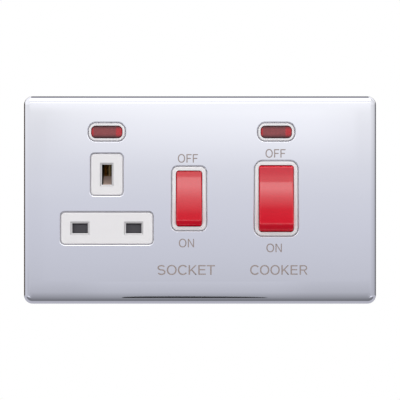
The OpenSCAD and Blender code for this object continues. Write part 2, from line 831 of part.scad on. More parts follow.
module socket_contact_arm() {
    color("goldenrod") at_arm(socket_switch_x) contact_arm();
}

module socket_arm_tip() {
    color("silver") at_arm(socket_switch_x) arm_tip();
}

module cooker_neutral_arm() {
    color("goldenrod") at_arm(neutral_pole_x) contact_arm();
}

module cooker_live_arm() {
    color("goldenrod") at_arm(live_pole_x) contact_arm();
}

module cooker_arm_tips() {
    color("silver") for (x = [neutral_pole_x, live_pole_x]) at_arm(x) arm_tip();
}

// Fixed side of the switches: cradles that carry the arms, and straps with silver contacts
module fixed_contacts() {
    color("silver") for (x = [socket_switch_x, neutral_pole_x, live_pole_x])
        translate([x, 0, fixed_tip_z]) rod_y(tip_r, fixed_front_y, strap_front_y);
}

module cradle(x, foot_z, foot_l) {
    bar_x(x - cradle_w / 2, x + cradle_w / 2) {
        translate([arm_y, switch_z]) circle(r = ridge_r);
        area(arm_y, cradle_back_y, switch_z - ridge_r, switch_z + ridge_r);
        area(cradle_front_y, cradle_back_y, foot_z, switch_z);
        area(cradle_back_y - foot_l, cradle_back_y, foot_z, foot_z + strip_t);
    }
}

module socket_cradle() {
    color("goldenrod") cradle(socket_switch_x, live_bar_top + screw_gap, cradle_back_y - live_bar_front_y);
}

module neutral_cradle() {
    color("goldenrod") cradle(neutral_pole_x, screw_gap - terminal_in_z, strip_t);
}

module live_cradle() {
    color("goldenrod") cradle(live_pole_x, screw_gap - terminal_in_z, strip_t);
}

module load_strap(x) {
    slab(strap_front_y, strap_back_y)
        area(x - strip_w / 2, x + strip_w / 2, fixed_tip_z - 2 * tip_r, terminal_in_z - screw_gap);
}

module cooker_neutral_strap() {
    color("goldenrod") load_strap(neutral_pole_x);
}

module cooker_live_strap() {
    color("goldenrod") load_strap(live_pole_x);
}

// Busbars from the supply terminals across to the socket
module neutral_busbar() {
    color("goldenrod") slab(neutral_bar_front_y, neutral_bar_back_y) {
        x0 = neutral_x - strip_w / 2;
        area(x0, neutral_terminal_x + terminal_w / 2, neutral_bar_bottom, neutral_bar_top);
        area(x0, x0 + strip_w, neutral_bar_bottom, pin_z - clip_half - screw_gap);
    }
}

module live_busbar() {
    color("goldenrod") bar_z(live_bar_bottom, live_bar_top) {
        x1 = live_pole_x + strip_w / 2;
        area(socket_switch_x - strip_w / 2, x1, live_bar_front_y, live_bar_back_y);
        area(x1 - strip_w, x1, live_bar_front_y, cradle_front_y - screw_gap);
    }
}

module switched_live_strap() {
    color("goldenrod") slab(strap_front_y, strap_back_y) {
        x0 = live_x - strip_w / 2;
        top = fixed_tip_z + strip_w / 2;
        area(x0, x0 + strip_w, pin_z + clip_half + screw_gap, top);
        area(x0, socket_switch_x + strip_w / 2, top - strip_w, top);
    }
}

// Pin contacts: a strip folded back on itself, with flared lips to lead the pin in
module clip_section() {
    bend = clip_back_y - clip_half;
    lip = clip_front_y + clip_lip_l;
    g = clip_gap / 2;
    mouth = g + clip_flare;
    past = clip_flare * over / clip_lip_l;
    difference() {
        union() {
            translate([bend, 0]) circle(r = clip_half);
            polygon([
                [bend, clip_half], [lip, clip_half], [clip_front_y, mouth + clip_t],
                [clip_front_y, -mouth - clip_t], [lip, -clip_half], [bend, -clip_half],
            ]);
        }
        translate([bend, 0]) circle(r = g);
        polygon([
            [bend, g], [lip, g], [clip_front_y - over, mouth + past],
            [clip_front_y - over, -mouth - past], [lip, -g], [bend, -g],
        ]);
    }
}

module pin_contact(x) {
    translate([0, 0, pin_z]) bar_x(x - clip_w / 2, x + clip_w / 2) clip_section();
}

module neutral_contact() {
    color("goldenrod") pin_contact(neutral_x);
}

module live_contact() {
    color("goldenrod") pin_contact(live_x);
}

module earth_contact() {
    color("goldenrod") translate([socket_x, 0, 0])
        bar_z(earth_z - earth_clip_h / 2, earth_z + earth_clip_h / 2) rotate([0, 0, 90]) clip_section();
}

// Earth: a strip from the contact to the earth terminal, and a spring that earths the plate
module earth_strap() {
    x0 = socket_x - strip_w / 2;
    color("goldenrod") slab(earth_strip_front_y, earth_strip_back_y) difference() {
        union() {
            area(x0, x0 + strip_w, earth_z - earth_clip_h / 2, earth_strip_top);
            area(x0, earth_block_x0 + earth_block_w, earth_strip_bottom, earth_strip_top);
        }
        for (x = earth_screw_xs()) translate([x, earth_screw_z()]) circle(r = terminal_screw_r + screw_gap);
    }
}

function earth_screw_xs() = [for (s = [-1, 1]) earth_block_x0 + earth_block_w / 2 + s * earth_block_w / 4];
function earth_screw_z() = (earth_strip_top + earth_strip_bottom) / 2;
function earth_cable_y() = earth_strip_front_y - earth_block_d + terminal_wall + earth_cable_r;

module earth_terminal() {
    front = earth_strip_front_y - earth_block_d;
    color("goldenrod") difference() {
        box(earth_block_x0, earth_block_x0 + earth_block_w, front, earth_strip_front_y - screw_gap,
            earth_block_bottom, earth_block_bottom + terminal_h);
        for (x = earth_screw_xs()) {
            translate([x, earth_cable_y(), 0])
                rod_z(earth_cable_r, earth_block_bottom - over, earth_block_bottom + terminal_h + over);
            translate([x, 0, earth_screw_z()])
                rod_y(terminal_screw_r + screw_gap, earth_cable_y(), earth_strip_front_y + over);
        }
    }
}

module plate_earth_spring() {
    x0 = earth_spring_x - earth_spring_w / 2;
    front = sheet_back_y + screw_gap;
    back = earth_strip_front_y - screw_gap;
    z = earth_spring_z;
    t = earth_spring_t;
    color("goldenrod") bar_x(x0, x0 + earth_spring_w) {
        area(front, back, z - t / 2, z + t / 2);
        area(front, front + t, z - earth_spring_tip, z);
        area(back - t, back, earth_strip_bottom + over, z);
    }
}

// Shutter: one sliding moulding that covers the live and neutral holes until the earth pin
// presses down on its ramp
module shutter() {
    f = shutter_front_y;
    b = shutter_back_y;
    top = pin_z + wing_half_h;
    color("gainsboro") {
        bar_x(socket_x - wing_reach, socket_x + wing_reach)
            polygon([[f, foot_top_z], [b, foot_top_z], [b, top], [f, top - wing_slope]]);
        slab(f, b) area(socket_x - spine_half_w, socket_x + spine_half_w, foot_bottom_z, top - wing_slope);
        slab(f, b) area(socket_x - ramp_half_w, socket_x + ramp_half_w, foot_bottom_z, ramp_foot_z);
        bar_x(socket_x - ramp_half_w, socket_x + ramp_half_w)
            polygon([[f, ramp_foot_z], [f, top], [ramp_back_y, top], [ramp_back_y, ramp_top_z]]);
        box(socket_x - foot_half_w, socket_x + foot_half_w, f, spring_y + spring_r + spring_wire_r,
            foot_bottom_z, foot_top_z);
        translate([socket_x, spring_y, 0]) rod_z(peg_r, foot_bottom_z - peg_l, foot_bottom_z + over);
    }
}

module shutter_spring() {
    color("silver") translate([socket_x, spring_y, shelf_z + seat_gap])
        coil(spring_r, spring_wire_r, foot_bottom_z - shelf_z - 2 * seat_gap, spring_turns);
}

// Cable terminals: drilled brass blocks, each with a clamp screw from behind
module terminal(x, side) {
    z0 = side > 0 ? terminal_in_z : -terminal_in_z - terminal_h;
    difference() {
        box(x - terminal_w / 2, x + terminal_w / 2, terminal_front_y, terminal_back_y, z0, z0 + terminal_h);
        translate([x, cable_y, 0]) rod_z(cable_r, z0 - over, z0 + terminal_h + over);
        translate([x, 0, z0 + terminal_h / 2])
            rod_y(terminal_screw_r + screw_gap, cable_y, terminal_back_y + over);
    }
}

module supply_neutral_terminal() {
    color("goldenrod") terminal(neutral_terminal_x, -1);
}

module supply_live_terminal() {
    color("goldenrod") terminal(live_terminal_x, -1);
}

module cooker_neutral_terminal() {
    color("goldenrod") terminal(neutral_terminal_x, 1);
}

module cooker_live_terminal() {
    color("goldenrod") terminal(live_terminal_x, 1);
}

module slotted_screw(x, z, tip, under_head) {
    head = under_head + screw_head_t;
    translate([x, 0, z]) difference() {
        union() {
            rod_y(terminal_screw_r, tip, under_head + screw_gap);
            rod_y(screw_head_r, under_head, head);
        }
        box(-screw_head_r - over, screw_head_r + over, head - screw_slot_d, head + over,
            -screw_slot_w / 2, screw_slot_w / 2);
    }
}

module terminal_screws() {
    color("silver") for (x = [neutral_terminal_x, live_terminal_x], s = [-1, 1])
        slotted_screw(x, s * (terminal_in_z + terminal_h / 2), screw_tip_y, terminal_back_y + screw_gap);
}

module earth_screws() {
    color("silver") for (x = earth_screw_xs())
        slotted_screw(x, earth_screw_z(), earth_cable_y() + earth_cable_r + slot_gap,
            earth_strip_back_y + screw_gap);
}

// Neon lights: a red lens, a glass lamp, its resistor and the tinned wires between them
module lens(o) {
    color("darkred") {
        soft_face(o, seam + neon_ring, surround_y + lens_recess, tray_back_y + over, lens_edge_r);
        slab(tray_back_y + seat_gap, tray_back_y + seat_gap + lens_flange_t)
            opening(o, seam + neon_ring - lens_flange);
    }
}

module lamp(o) {
    color("lightsalmon") translate([o[0] + lamp_l / 2, lamp_y, o[1]]) rotate([0, 0, 90])
        round_pin(lamp_r, lamp_l);
}

module resistor_body(l) {
    rod_z(resistor_r * resistor_waist_share, -l / 2, l / 2);
    for (s = [0, 1]) mirror([0, 0, s]) rod_z(resistor_r, l / 4, l / 2);
}

module socket_neon_lens() {
    lens(SOCKET_NEON_OPEN);
}

module cooker_neon_lens() {
    lens(COOKER_NEON_OPEN);
}

module socket_neon_lamp() {
    lamp(SOCKET_NEON_OPEN);
}

module cooker_neon_lamp() {
    lamp(COOKER_NEON_OPEN);
}

module socket_neon_resistor() {
    color("tan") translate([live_lead_x, lead_back_y, resistor_z]) resistor_body(resistor_l);
}

module cooker_neon_resistor() {
    color("tan") translate([cooker_resistor_x, lead_back_y, neon_z - lead_pitch / 2]) rotate([0, 90, 0])
        resistor_body(resistor_l);
}

module socket_neon_wires() {
    end_x = socket_x + lamp_l / 2 + screw_gap;
    out_x = socket_x + chamber_half_w - lead_pitch;
    top = neon_z + lead_pitch / 2;
    low = neon_z - lead_pitch / 2;
    half = resistor_l / 2 + screw_gap;
    color("silver") {
        wire([[end_x, lamp_y, top], [out_x, lamp_y, top], [out_x, lead_back_y, top],
            [neutral_lead_x, lead_back_y, top], [neutral_lead_x, lead_back_y, clip_top_z]], wire_r);
        wire([[end_x, lamp_y, low], [out_x, lamp_y, low], [out_x, lead_back_y, low],
            [live_lead_x, lead_back_y, low], [live_lead_x, lead_back_y, resistor_z + half]], wire_r);
        wire([[live_lead_x, lead_back_y, resistor_z - half], [live_lead_x, lead_back_y, clip_top_z]],
            wire_r);
    }
}

module cooker_neon_wires() {
    end_x = cooker_switch_x + lamp_l / 2 + screw_gap;
    out_x = cooker_switch_x + chamber_half_w - lead_pitch;
    top = neon_z + lead_pitch / 2;
    low = neon_z - lead_pitch / 2;
    half = resistor_l / 2 + screw_gap;
    back = terminal_front_y - screw_gap;
    color("silver") {
        wire([[end_x, lamp_y, top], [out_x, lamp_y, top], [out_x, back, top]], wire_r);
        wire([[end_x, lamp_y, low], [out_x, lamp_y, low], [out_x, lead_back_y, low],
            [cooker_resistor_x + half, lead_back_y, low]], wire_r);
        wire([[cooker_resistor_x - half, lead_back_y, low], [neutral_terminal_x, lead_back_y, low],
            [neutral_terminal_x, back, low]], wire_r);
    }
}

// Rear housings: moulded boxes, open towards the front, with a pocket for each contact
module socket_outline(inset) {
    difference() {
        translate([(socket_base_x0 + socket_base_x1) / 2, 0])
            rounded(socket_base_x1 - socket_base_x0 - 2 * inset, base_h - 2 * inset, base_corner_r - inset);
        area(socket_base_x0 - over, socket_base_x0 + lug_notch_d + inset,
            -lug_notch_half - inset, lug_notch_half + inset);
    }
}

module switch_outline(inset) {
    translate([cooker_switch_x, 0])
        rounded(2 * (switch_base_half - inset), base_h - 2 * inset, base_corner_r - inset);
}

// Notch in a housing's top wall where a neon lamp's chamber sits
module chamber_notch(o) {
    half_w = chamber_half_w + rib_t + slot_gap;
    box(o[0] - half_w, o[0] + half_w, base_front_y - over, chamber_back_y + slot_gap,
        o[1] - chamber_half_h - rib_t - slot_gap, base_h / 2 + over);
}

module posts(list, back_y) {
    for (p = list) translate([p[0], 0, p[1]]) rod_y(post_r, boss_back_y + seat_gap, back_y - base_t / 2);
}

module post_cuts(list, back_y) {
    for (p = list) translate([p[0], 0, p[1]]) {
        rod_y(boss_r + slot_gap, base_front_y - over, boss_back_y + seat_gap);
        rod_y(post_hole_r, boss_back_y, back_y);
        rod_y(post_well_r, boss_back_y + post_floor_t, back_y + over);
    }
}

// A slot through a wall, widened all round from the strip that drops in, up to back_y
module strip_slot(x0, x1, front_y, back_y, z0, z1) {
    box(x0, x1, front_y - over, back_y + slot_gap, z0 - slot_gap, z1 + slot_gap);
}

module pocket(half_x, half_z, back_y) {
    slab(pocket_front_y, back_y - base_t / 2) difference() {
        square([2 * (half_x + rib_t), 2 * (half_z + rib_t)], center = true);
        square([2 * half_x, 2 * half_z], center = true);
    }
}

// What holds a contact arm and its cradle: side ribs, stops for the arm's lower end,
// a rest behind the cradle and a rest behind the fixed contact
module arm_stops(x, back_y) {
    stop_y = arm_y + arm_down * sin(arm_a) - arm_back * cos(arm_a) + seat_gap;
    for (s = [0, 1]) translate([x, 0, switch_z]) mirror([s, 0, 0]) {
        box(stop_half, bay_half + over, stop_y, back_y - base_t / 2,
            -arm_down - rib_t / 2, rib_t / 2 - arm_down);
    }
    box(x - stop_half, x + stop_half, cradle_back_y + seat_gap, back_y - base_t / 2,
        switch_z - arm_down, switch_z - arm_down / 2);
    box(x - stop_half, x + stop_half, strap_back_y + seat_gap, back_y - base_t / 2,
        fixed_tip_z - rib_t, fixed_tip_z + rib_t);
}

module socket_base() {
    inner_back = socket_back_y - base_t;
    clip_half_w = clip_w / 2 + slot_gap;
    strip_half = strip_w / 2 + slot_gap;
    cable_half = earth_cable_r + entry_clear;
    cable_xs = earth_screw_xs();
    color("whitesmoke") difference() {
        union() {
            difference() {
                slab(base_front_y, socket_back_y) socket_outline(0);
                slab(base_front_y - over, inner_back) socket_outline(base_t);
            }
            for (x = [neutral_x, live_x]) translate([x, 0, pin_z])
                pocket(clip_half_w, pocket_half, socket_back_y);
            translate([socket_x, 0, earth_z])
                pocket(pocket_half, earth_clip_h / 2 + slot_gap, socket_back_y);
            posts(SOCKET_POSTS, socket_back_y);
            for (s = [0, 1]) translate([socket_switch_x, 0, 0]) mirror([s, 0, 0])
                box(bay_half, bay_half + rib_t, bay_front_y, socket_back_y - base_t / 2,
                    bay_bottom, bay_top);
            arm_stops(socket_switch_x, socket_back_y);
        }
        post_cuts(SOCKET_POSTS, socket_back_y);
        chamber_notch(SOCKET_NEON_OPEN);
        // Room for the shutter's spine and ramp
        box(socket_x - foot_half_w - slot_gap, socket_x + foot_half_w + slot_gap, pocket_front_y - over,
            ramp_back_y + slot_gap, shelf_z, earth_z);
        // Slots, open to the front, that the busbars and straps drop into
        strip_slot(socket_base_x1 - base_t - over, socket_base_x1 + over, base_front_y,
            neutral_bar_back_y, neutral_bar_bottom, neutral_bar_top);
        strip_slot(socket_base_x1 - base_t - over, socket_base_x1 + over, base_front_y,
            live_bar_back_y, live_bar_bottom, live_bar_top);
        strip_slot(neutral_x - strip_half, neutral_x + strip_half, pocket_front_y,
            neutral_bar_back_y, pin_z - pocket_half - rib_t - over, pin_z - pocket_half);
        strip_slot(live_x - strip_half, live_x + strip_half, pocket_front_y,
            strap_back_y, pin_z + pocket_half, pin_z + pocket_half + rib_t + over);
        strip_slot(socket_switch_x - bay_half - rib_t - over, socket_switch_x - bay_half + over,
            bay_front_y, strap_back_y, fixed_tip_z - strip_w / 2, fixed_tip_z + strip_w / 2);
        box(socket_x - strip_half, socket_x + strip_half, earth_strip_front_y - slot_gap,
            inner_back, earth_z - earth_clip_h / 2 - slot_gap, earth_strip_top);
        // Holes for the neon's wires and the earth screws
        for (x = [neutral_lead_x, live_lead_x]) translate([x, lead_back_y, 0])
            rod_z(2 * wire_r, pin_z, pin_z + pocket_half + rib_t + over);
        for (x = cable_xs)
            translate([x, 0, earth_screw_z()]) rod_y(access_r, inner_back - over, socket_back_y + over);
        // Notch, open to the back, that the earth cables come in through
        box(cable_xs[0] - cable_half, cable_xs[1] + cable_half, earth_cable_y() - cable_half,
            socket_back_y + over, base_h / 2 - base_t - over, base_h / 2 + over);
    }
}

module switch_base() {
    inner_back = switch_back_y - base_t;
    left = cooker_switch_x - switch_base_half;
    rib_end = base_h / 2 - base_t / 2;
    rib_back = switch_back_y - base_t / 2;
    rib_gap = terminal_w / 2 + slot_gap;
    color("whitesmoke") difference() {
        union() {
            difference() {
                slab(base_front_y, switch_back_y) switch_outline(0);
                slab(base_front_y - over, inner_back) switch_outline(base_t);
            }
            posts(SWITCH_POSTS, switch_back_y);
            // Ribs each side of the terminals
            for (sx = [0, 1], sz = [0, 1]) translate([cooker_switch_x, 0, 0]) mirror([sx, 0, 0])
                mirror([0, 0, sz])
                    for (x = [terminal_x - rib_gap - rib_t, terminal_x + rib_gap])
                        box(x, x + rib_t, terminal_front_y + slot_gap, rib_back, terminal_in_z, rib_end);
            // Barrier between the poles and ribs outside them
            box(cooker_switch_x - rib_t / 2, cooker_switch_x + rib_t / 2, bay_front_y, rib_back,
                bay_bottom, bay_top);
            for (s = [0, 1]) translate([cooker_switch_x, 0, 0]) mirror([s, 0, 0])
                box(pole_x + bay_half, pole_x + bay_half + rib_t, bay_front_y, rib_back,
                    bay_bottom, bay_top);
            for (x = [neutral_pole_x, live_pole_x]) arm_stops(x, switch_back_y);
        }
        post_cuts(SWITCH_POSTS, switch_back_y);
        chamber_notch(COOKER_NEON_OPEN);
        // Slots, open to the front, that the busbars drop into
        strip_slot(left - over, left + base_t + over, base_front_y,
            neutral_bar_back_y, neutral_bar_bottom, neutral_bar_top);
        strip_slot(left - over, left + base_t + over, base_front_y,
            live_bar_back_y, live_bar_bottom, live_bar_top);
        // Holes for the cables and for a screwdriver
        for (x = [neutral_terminal_x, live_terminal_x]) {
            for (s = [0, 1]) translate([x, cable_y, 0]) mirror([0, 0, s])
                rod_z(cable_r + entry_clear, base_h / 2 - base_t - over, base_h / 2 + over);
            for (s = [-1, 1]) translate([x, 0, s * (terminal_in_z + terminal_h / 2)])
                rod_y(access_r, inner_back - over, switch_back_y + over);
        }
    }
}

// Screws that hold the housings to the moulding
module base_screws() {
    seat = boss_back_y + post_floor_t + screw_gap;
    top = seat + screw_pan_t;
    color("silver") for (p = concat(SOCKET_POSTS, SWITCH_POSTS)) translate([p[0], 0, p[1]]) difference() {
        union() {
            rod_y(screw_shank_r, tray_back_y + screw_tip_clear, seat + screw_gap);
            rod_y(screw_pan_r, seat, top);
        }
        box(-cross_l / 2, cross_l / 2, top - cross_d, top + over, -cross_w / 2, cross_w / 2);
        box(-cross_w / 2, cross_w / 2, top - cross_d, top + over, -cross_l / 2, cross_l / 2);
    }
}

front_plate();
front_moulding();
socket_base();
switch_base();
base_screws();
socket_rocker();
socket_plunger();
socket_plunger_spring();
socket_contact_arm();
socket_arm_tip();
cooker_rocker();
cooker_plungers();
cooker_plunger_springs();
cooker_neutral_arm();
cooker_live_arm();
cooker_arm_tips();
fixed_contacts();
socket_cradle();
neutral_cradle();
live_cradle();
cooker_neutral_strap();
cooker_live_strap();
neutral_busbar();
live_busbar();
switched_live_strap();
neutral_contact();
live_contact();
earth_contact();
earth_strap();
earth_terminal();
plate_earth_spring();
shutter();
shutter_spring();
supply_neutral_terminal();
supply_live_terminal();
cooker_neutral_terminal();
cooker_live_terminal();
terminal_screws();
earth_screws();
socket_neon_lens();
socket_neon_lamp();
socket_neon_resistor();
socket_neon_wires();
cooker_neon_lens();
cooker_neon_lamp();
cooker_neon_resistor();
cooker_neon_wires();
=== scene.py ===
"""Looks of the cooker control unit: a polished double wall plate with a shuttered socket, two red
rocker switches and two red neon lights. x runs to the right, z up and y back into the wall, in metres,
and the wall is at y = 0."""

import json
import math

import bpy
import numpy as np
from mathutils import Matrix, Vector
from mathutils.geometry import tessellate_polygon

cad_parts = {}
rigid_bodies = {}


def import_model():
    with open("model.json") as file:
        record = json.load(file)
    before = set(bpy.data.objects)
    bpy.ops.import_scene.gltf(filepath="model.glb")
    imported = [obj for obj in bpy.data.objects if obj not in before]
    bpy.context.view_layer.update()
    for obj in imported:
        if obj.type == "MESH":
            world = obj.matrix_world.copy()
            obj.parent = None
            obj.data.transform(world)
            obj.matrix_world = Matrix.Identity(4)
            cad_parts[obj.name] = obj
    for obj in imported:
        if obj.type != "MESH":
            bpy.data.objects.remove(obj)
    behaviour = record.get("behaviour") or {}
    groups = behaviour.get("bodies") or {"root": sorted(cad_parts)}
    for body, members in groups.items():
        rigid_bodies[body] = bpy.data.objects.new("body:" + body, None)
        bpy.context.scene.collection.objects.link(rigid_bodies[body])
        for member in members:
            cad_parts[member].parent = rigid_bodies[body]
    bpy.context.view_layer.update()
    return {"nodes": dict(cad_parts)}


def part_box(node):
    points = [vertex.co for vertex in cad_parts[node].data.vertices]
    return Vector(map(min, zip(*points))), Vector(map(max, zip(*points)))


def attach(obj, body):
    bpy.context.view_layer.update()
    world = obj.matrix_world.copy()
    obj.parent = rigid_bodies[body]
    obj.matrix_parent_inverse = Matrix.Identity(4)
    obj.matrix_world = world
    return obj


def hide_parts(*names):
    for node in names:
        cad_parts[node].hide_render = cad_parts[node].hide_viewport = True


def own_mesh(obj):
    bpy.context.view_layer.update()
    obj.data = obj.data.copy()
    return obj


for leftover in list(bpy.data.objects):
    bpy.data.objects.remove(leftover)

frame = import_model()

MM = 0.001
DEG = math.pi / 180

# Pressed plate, measured from its node
plate_lo, plate_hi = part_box("front_plate")
PLATE_W = plate_hi.x - plate_lo.x
PLATE_H = plate_hi.z - plate_lo.z
FACE_Y = plate_lo.y
PLATE_BACK_Y = plate_hi.y
PLATE_R = 3.6 * MM
SHEET_T = 1.0 * MM
EDGE_R = 2.4 * MM
LIP_R = 0.38 * MM
HEM = 0.1 * MM
BOW_REACH = 10 * MM
BOW_R = 350 * MM
# The edge turns over a tight bend first, up to an angle, and then rolls on in a wide one
BEND_R = 0.85 * MM
BEND_A = 17 * DEG
BEND_IN = 2.3 * MM
ROLL_R = BEND_IN / (1 - math.sin(BEND_A))
# The flat middle of the face: its distance from the bowed part, its corners and how far its sides swell
FLAT_MARGIN = 1 * MM
FLAT_R = 3 * MM
FLAT_SWELL = 1 * MM

# Openings in the plate: middle x, middle z, width, height and corner radius
SOCKET_X = -38.5 * MM
SOCKET_SWITCH_X = -4.5 * MM
COOKER_X = 31.5 * MM
SWITCH_Z = 0.6 * MM
NEON_Z = 28.1 * MM
NEON_OPENING = (15.8 * MM, 8.1 * MM, 3.4 * MM)
EARTH_Z = 10.5 * MM
PINS_Z = -11.7 * MM
OPENINGS = {
    "earth": (SOCKET_X, EARTH_Z, 14.0 * MM, 17.9 * MM, 2.0 * MM),
    "pins": (SOCKET_X, PINS_Z, 38.8 * MM, 13.9 * MM, 2.1 * MM),
    "socket_switch": (SOCKET_SWITCH_X, SWITCH_Z, 14.9 * MM, 27.1 * MM, 2.8 * MM),
    "cooker_switch": (COOKER_X, SWITCH_Z, 18.5 * MM, 31.6 * MM, 3.6 * MM),
    "socket_neon": (SOCKET_X, NEON_Z, *NEON_OPENING),
    "cooker_neon": (COOKER_X, NEON_Z, *NEON_OPENING),
}

# Holes for the pins: middle x, middle z, width and height, and the reach of their lead-in
PIN_ASIDE = 11.1 * MM
EARTH_HOLE = (4.6 * MM, 8.8 * MM)
PIN_HOLE = (6.95 * MM, 4.6 * MM)
HOLES = (
    (SOCKET_X, EARTH_Z, *EARTH_HOLE),
    (SOCKET_X - PIN_ASIDE, PINS_Z, *PIN_HOLE),
    (SOCKET_X + PIN_ASIDE, PINS_Z, *PIN_HOLE),
)
LEAD_IN = 0.5 * MM

# Rockers: their windows, pivots, lean and hollow faces, and the tubes and pins behind them
SEAM = 0.5 * MM
SURROUND_T = 1.45 * MM
SURROUND_Y = FACE_Y - 0.3 * MM
PIVOT_DEPTH = 6.2 * MM
PIVOT_Y = SURROUND_Y + PIVOT_DEPTH
ROCKER_GAP = 0.4 * MM
ROCKER_SIDE_GAP = 0.2 * MM
LEAN = 8 * DEG
TIP_A = 36 * DEG
SOCKET_DISH = 0.6 * MM
COOKER_DISH = 1.1 * MM
ROCKER_T = 1.3 * MM
ROCKER_BACK = 2.1 * MM
TRUNNION_R = 1.5 * MM
TRUNNION_L = 2.4 * MM
TRUNNION_SOFT = 0.2 * MM
STEM_R = 2.2 * MM
STEM_L = 8.2 * MM
STEM_GAP = 0.2 * MM
BORE_R = 1.35 * MM
BORE_FRONT = -2.4 * MM
TIP_ROUND = 0.65 * MM
SIDE_ROUND = 0.45 * MM
END_ROUND = 1.0 * MM
HOLLOW_ROUND = 0.1 * MM

# The shutter's spring and travel
SPRING_WIRE_R = 0.25 * MM
SPRING_TURNS = 8
SPRING_CLOSED = 1.15 * 2 * SPRING_WIRE_R

# Letters: the width of an upright and of a bar as shares of a capital's height, and the bow of its lines
STEM = 0.148
BAR = 0.128
LETTER_BOW = 0.004
INK_T = 0.02 * MM
# Each word: its text, and in millimetres its middle x and z, its width and the height of its capitals
WORDS = (
    ("socket_off_word", "OFF", -5.0, 17.2, 8.3, 3.5),
    ("socket_on_word", "ON", -5.6, -17.8, 6.3, 3.5),
    ("socket_word", "SOCKET", -5.7, -28.9, 23.8, 4.0),
    ("cooker_off_word", "OFF", 31.2, 19.25, 8.3, 3.5),
    ("cooker_on_word", "ON", 30.6, -19.8, 6.4, 3.5),
    ("cooker_word", "COOKER", 32.6, -28.9, 23.7, 3.95),
)

# Points closer than this are one, and points or rings on each curve
WELD = 1e-7
ARC_STEPS = 12
SIDE_STEPS = 24
FACE_RINGS = 10
BEND_STEPS = 8
ROLL_STEPS = 24
LIP_STEPS = 7
BACK_STEPS = 9
END_STEPS = 15
TIP_STEPS = 9
DISH_STEPS = 41
ROUND_STEPS = 7
COIL_STEPS = 24
WIRE_STEPS = 12


# Meshes from patches: each patch is its points, its outward normals and its triangles

def grid_patch(points, normals, closed=False):
    """Two triangles for each cell of a grid of points of shape (rows, columns, 3). A closed grid joins
    its last column back to its first."""
    rows, columns = points.shape[:2]
    index = np.arange(rows * columns).reshape(rows, columns)
    if closed:
        index = np.hstack([index, index[:, :1]])
    a, b, c, d = index[:-1, :-1], index[1:, :-1], index[1:, 1:], index[:-1, 1:]
    triangles = np.concatenate([np.stack(trio, -1).reshape(-1, 3) for trio in ((a, b, c), (a, c, d))])
    return points.reshape(-1, 3), normals.reshape(-1, 3), triangles


def back_strip(outer, inner, closed=False):
    """A strip that faces back, between two lines of as many points."""
    strip = np.stack([outer, inner])
    return grid_patch(strip, np.broadcast_to((0.0, 1.0, 0.0), strip.shape), closed=closed)


def cut_up(loops):
    """Triangles that fill the first loop of flat points and leave out the others."""
    return np.array(tessellate_polygon([list(map(Vector, loop.tolist())) for loop in loops]))


def flat_patch(loops, y, facing):
    """A flat face at depth y inside the first loop of (x, z) points and outside the others. It faces
    along y by the sign of facing."""
    flat = np.concatenate(loops)
    points = np.stack([flat[:, 0], np.full(len(flat), y), flat[:, 1]], 1)
    return points, np.broadcast_to((0.0, float(facing), 0.0), points.shape), cut_up(loops)


def side_patch(loop, x, facing):
    """A flat face at x inside a loop of (y, z) points, which faces along x by the sign of facing."""
    points = np.column_stack([np.full(len(loop), x), loop])
    return points, np.broadcast_to((float(facing), 0.0, 0.0), points.shape), cut_up([loop])


def turned_patch(profile, normals, axis, steps=32):
    """Turns a profile of (radius, distance along the axis) points about an axis. Each point goes to
    radius times (cos t, sin t) across the axis, and its normal turns with it."""
    t = np.linspace(0, 2 * math.pi, steps, endpoint=False)
    ring = np.stack([np.cos(t), np.sin(t)], 1)

    def spin(flat):
        out = np.zeros((len(flat), steps, 3))
        across = [i for i in range(3) if i != axis]
        out[:, :, across] = flat[:, None, :1] * ring
        out[:, :, axis] = flat[:, 1:2]
        return out

    return grid_patch(spin(profile), spin(normals), closed=True)


def moved(patch, move):
    """The same patch, turned by a 3x3 matrix and then shifted, given as a pair."""
    turn, shift = move
    points, normals, triangles = patch
    return points @ turn.T + shift, normals @ turn.T, triangles


def add_object(name, data):
    """A new object in the scene."""
    thing = bpy.data.objects.new(name, data)
    bpy.context.scene.collection.objects.link(thing)
    return thing


def make_piece(name, patches, material):
    """Joins patches into one mesh: points closer than a tenth of a micron are welded, triangles that
    collapse are dropped, every triangle is wound to agree with its normals, and those normals are kept
    on its corners."""
    starts = np.cumsum([0] + [len(p[0]) for p in patches[:-1]])
    points = np.concatenate([p[0] for p in patches])
    normals = np.concatenate([p[1] for p in patches])
    triangles = np.concatenate([p[2] + s for p, s in zip(patches, starts)])
    corners = points[triangles]
    wound = np.cross(corners[:, 1] - corners[:, 0], corners[:, 2] - corners[:, 0])
    wrong = (wound * normals[triangles].sum(1)).sum(1) < 0
    triangles[wrong] = triangles[wrong][:, ::-1]
    cells = np.round(points / WELD).astype(np.int64)
    _, first, welded = np.unique(cells, axis=0, return_index=True, return_inverse=True)
    faces = welded.reshape(-1)[triangles]
    whole = (faces != np.roll(faces, 1, axis=1)).all(1)
    faces, triangles = faces[whole], triangles[whole]
    mesh = bpy.data.meshes.new(name)
    mesh.from_pydata(points[first], [], faces)
    mesh.polygons.foreach_set("use_smooth", np.ones(len(faces), bool))
    mesh.normals_split_custom_set(normals[triangles].reshape(-1, 3))
    mesh.materials.append(material)
    mesh.update()
    return add_object(name, mesh)


# Outlines

